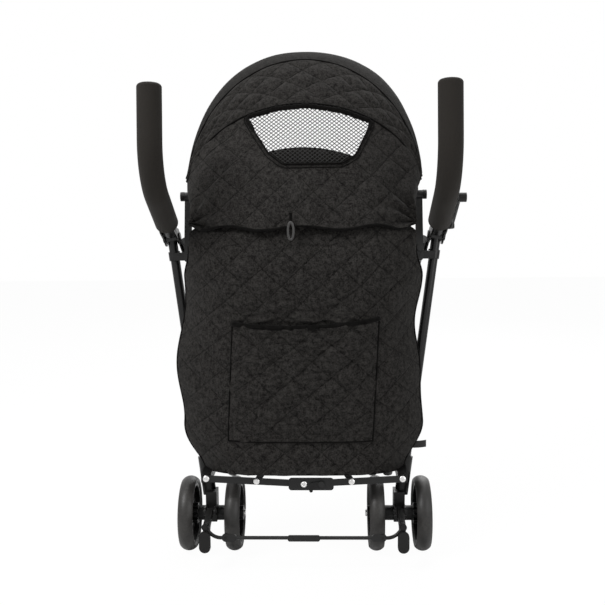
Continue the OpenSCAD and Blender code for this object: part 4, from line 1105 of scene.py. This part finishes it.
FRONT_RAKE, PIVOT = math.radians(43), np.array([271.617, 69.83, 637.91])
STRAP_Z, STRAP_HALF, STRAP_SAG = 232.0, 22, 22
strap_drop = (PIVOT[2] - STRAP_Z) / math.cos(FLARE)
strap_half = PIVOT[0] - 25 * math.cos(FLARE) - strap_drop * math.sin(FLARE) - TUBE_R - 1
strap_y = PIVOT[1] + strap_drop * math.tan(FRONT_RAKE)
strap_v, strap_u = grid_of(ramp(-1, 1, 20), ramp(1, -1, 120))


def foot_point(u, v, d):
    """A point of the foot strap: it sags forward and down between the front tubes."""
    hang = 1 - u ** 2
    return xyz(u * (strap_half - 3 * np.abs(v)), strap_y + STRAP_SAG * hang + d,
               STRAP_Z + STRAP_HALF * v - 6 * hang)


foot_x_map = strap_u * strap_half
foot_bulge = 3 + 0.8 * soft_noise(foot_x_map / 30, strap_v * 2, 111)
foot_strap = pad_object("footrest_strap_band", foot_point(strap_u, strap_v, foot_bulge),
                        foot_point(strap_u, strap_v, 0 * strap_u), webbing,
                        {"cloth": pair(strap_v * STRAP_HALF * MM, foot_x_map * MM)})
settle(foot_strap, "front_left", ["footrest_strap"])
print("straps", len(straps), "seat faces", len(seat_pad.data.polygons))

# %% [markdown]
# ## Rivets and the centre screw
# Bright domed rivet heads sit on the flat heads of the construction. A dome is a profile turned about its
# axis, and the axis is square to the brace plane, which leans forward.

# %% Rivet heads
BRACE_TILT, BRACE_BACK, BRACE_BASE_Z = math.radians(12.5), 80.0, 70.0


def brace_point(x, v, m):
    """A point of the brace plane: v up along it, m to the rear of it."""
    return np.array([x, -BRACE_BACK + v * math.sin(BRACE_TILT) - m * math.cos(BRACE_TILT),
                     BRACE_BASE_Z + v * math.cos(BRACE_TILT) + m * math.sin(BRACE_TILT)])


REARWARD = np.array([0, -math.cos(BRACE_TILT), math.sin(BRACE_TILT)])
UPWARD = np.array([0, math.sin(BRACE_TILT), math.cos(BRACE_TILT)])


def rivet_dome(name, centre, radius, height, body, slotted=False):
    """A domed head: height times the root of one minus the squared radius, turned about the axis."""
    turn, s = np.meshgrid(ramp(0, 2 * math.pi, 41)[:-1], ramp(1, 0.02, 14))
    rise = height * np.sqrt(1 - (s * 0.98) ** 2)
    if slotted:
        cross = np.minimum(np.abs(np.sin(turn)), np.abs(np.cos(turn))) * s * radius
        rise = rise - 1.1 * smooth((1.1 - cross) / 0.5) * smooth((0.75 - s) / 0.1)
    rise = np.concatenate([np.full((1, 40), -0.6), rise])
    turn, s = np.concatenate([turn[:1], turn]), np.concatenate([s[:1], s])
    points = (centre + xyz(radius * s * np.cos(turn), 0, 0)
              + (radius * s * np.sin(turn))[..., None] * UPWARD + rise[..., None] * REARWARD)
    piece = face_outward(tube_object(name, points, bright_steel))
    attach(piece, body)


LINK_T, RIVET_R, RIVET_H = 4.5, 6.2, 2.0
LOCK_X, LOCK_V, ANKLE_X, ANKLE_V = 93, 95, 192, 100
CENTRE_V = ANKLE_V - (ANKLE_V - LOCK_V) * ANKLE_X / (ANKLE_X - LOCK_X)
LEFT_TOP, RIGHT_TOP = (link_m + LINK_T + RIVET_H for link_m in (8.0, 13.5))
SIDES = ((-1, "left", LEFT_TOP), (1, "right", RIGHT_TOP))
for sign, side, top in SIDES:
    rivet_dome("lock_rivet_" + side, brace_point(sign * LOCK_X, LOCK_V, top), RIVET_R, RIVET_H,
               "lock_" + side)
for sign, side, top in SIDES:
    rivet_dome("ankle_rivet_" + side, brace_point(sign * ANKLE_X, ANKLE_V, top + 0.4), RIVET_R, RIVET_H,
               side + "_frame")
rivet_dome("centre_screw", brace_point(0, CENTRE_V, RIGHT_TOP), 6.4, 2.4, "lock_right", slotted=True)
